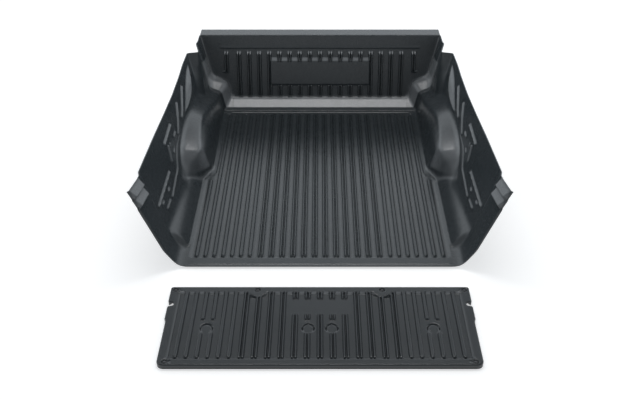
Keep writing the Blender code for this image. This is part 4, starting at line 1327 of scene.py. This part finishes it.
def studio_floor():
    """A large plane: diffuse white, lifted by emission for camera, glossy and transmission rays."""
    low, high = -PAPER_HALF, PAPER_HALF
    mesh = bpy.data.meshes.new("studio_floor")
    corners = ((low, low, 0.0), (high, low, 0.0), (high, high, 0.0), (low, high, 0.0))
    mesh.from_pydata(corners, [], [(0, 1, 2, 3)])
    floor = bpy.data.objects.new("studio_floor", mesh)
    floor.location.z = -PAPER_DROP
    bpy.context.scene.collection.objects.link(floor)
    material, start = new_material("white_paper")
    camera_ray = start.node("ShaderNodeLightPath", None, None, "Is Camera Ray")
    glossy_ray = start.node("ShaderNodeLightPath", None, None, "Is Glossy Ray")
    through_ray = start.node("ShaderNodeLightPath", None, None, "Is Transmission Ray")
    seen = (camera_ray + glossy_ray + through_ray).at_most(1.0)
    paper = start.node("ShaderNodeBsdfDiffuse", None, {"Color": PAPER_COLOUR})
    glow = start.node("ShaderNodeEmission", None, {"Color": GLOW_COLOUR, "Strength": seen * GLOW_STRENGTH})
    finish_surface(start, start.node("ShaderNodeAddShader", None, {0: paper, 1: glow}))
    mesh.materials.append(material)


studio_floor()
print("paper", 2.0 * PAPER_HALF, "m wide")

# %% Room and softbox
ROOM_TINT = (0.94, 1.0, 1.05, 1.0)
ROOM_STRENGTH = 1.2
WALL_TO_CEILING = ((0.65, 1.0), (0.71, 0.13))
NEAR_TO_FAR = ((0.30, 0.42), (0.65, 1.0))
SOFTBOX_PLACE = (0.0, 1.2, 4.5)
SOFTBOX_AIM = (0.0, 0.6, 0.0)
SOFTBOX_SIZE = (3.2, 0.8)
SOFTBOX_POWER = 67.0


def studio_world():
    """The room: bright up to about 40 degrees, dim from about 45 degrees on, dimmer behind the camera.

    The first ramp reads the height of each direction, and the second how far it points along the bed,
    moved to the range from 0 to 1; the two are multiplied.
    """
    world = bpy.data.worlds.new("studio_world")
    world.use_nodes = True
    world.node_tree.nodes.clear()
    start = Wire(world.node_tree)
    way = start.node("ShaderNodeTexCoord", None, None, "Generated")
    up = start.node("ShaderNodeSeparateXYZ", None, {0: way}, 2)
    forward = start.node("ShaderNodeSeparateXYZ", None, {0: way}, 1)
    walls = start.node("ShaderNodeValToRGB", {"stops": WALL_TO_CEILING}, {"Fac": up})
    ends = start.node("ShaderNodeValToRGB", {"stops": NEAR_TO_FAR}, {"Fac": forward * 0.5 + 0.5})
    strength = walls * ends * ROOM_STRENGTH
    glow = start.node("ShaderNodeBackground", None, {"Color": ROOM_TINT, "Strength": strength})
    start.node("ShaderNodeOutputWorld", None, {"Surface": glow})
    bpy.context.scene.world = world


def overhead_softbox():
    """A rectangular soft light turned to a point on the floor, unseen by the camera."""
    lamp = bpy.data.lights.new("overhead_softbox", "AREA")
    lamp.shape = "RECTANGLE"
    lamp.size, lamp.size_y = SOFTBOX_SIZE
    lamp.energy = SOFTBOX_POWER
    light = bpy.data.objects.new("overhead_softbox", lamp)
    light.location = SOFTBOX_PLACE
    aim = Vector(SOFTBOX_AIM) - Vector(SOFTBOX_PLACE)
    light.rotation_euler = aim.to_track_quat("-Z", "Y").to_euler()
    light.visible_camera = False
    bpy.context.scene.collection.objects.link(light)


studio_world()
overhead_softbox()
print("room and softbox ready")

# %% Camera
CAMERA_PLACE = (0.0, -3.24, 2.325)
CAMERA_TILT = math.radians(54.3)
CAMERA_LENS = 45.0
CAMERA_SENSOR = 36.0
camera_data = bpy.data.cameras.new("camera")
camera_data.lens = CAMERA_LENS
camera_data.sensor_width = CAMERA_SENSOR
camera = bpy.data.objects.new("camera", camera_data)
camera.location = CAMERA_PLACE
camera.rotation_euler = (CAMERA_TILT, 0.0, 0.0)
bpy.context.scene.collection.objects.link(camera)
bpy.context.scene.camera = camera
bpy.context.scene.view_settings.view_transform = "Standard"
print("camera at", CAMERA_PLACE)
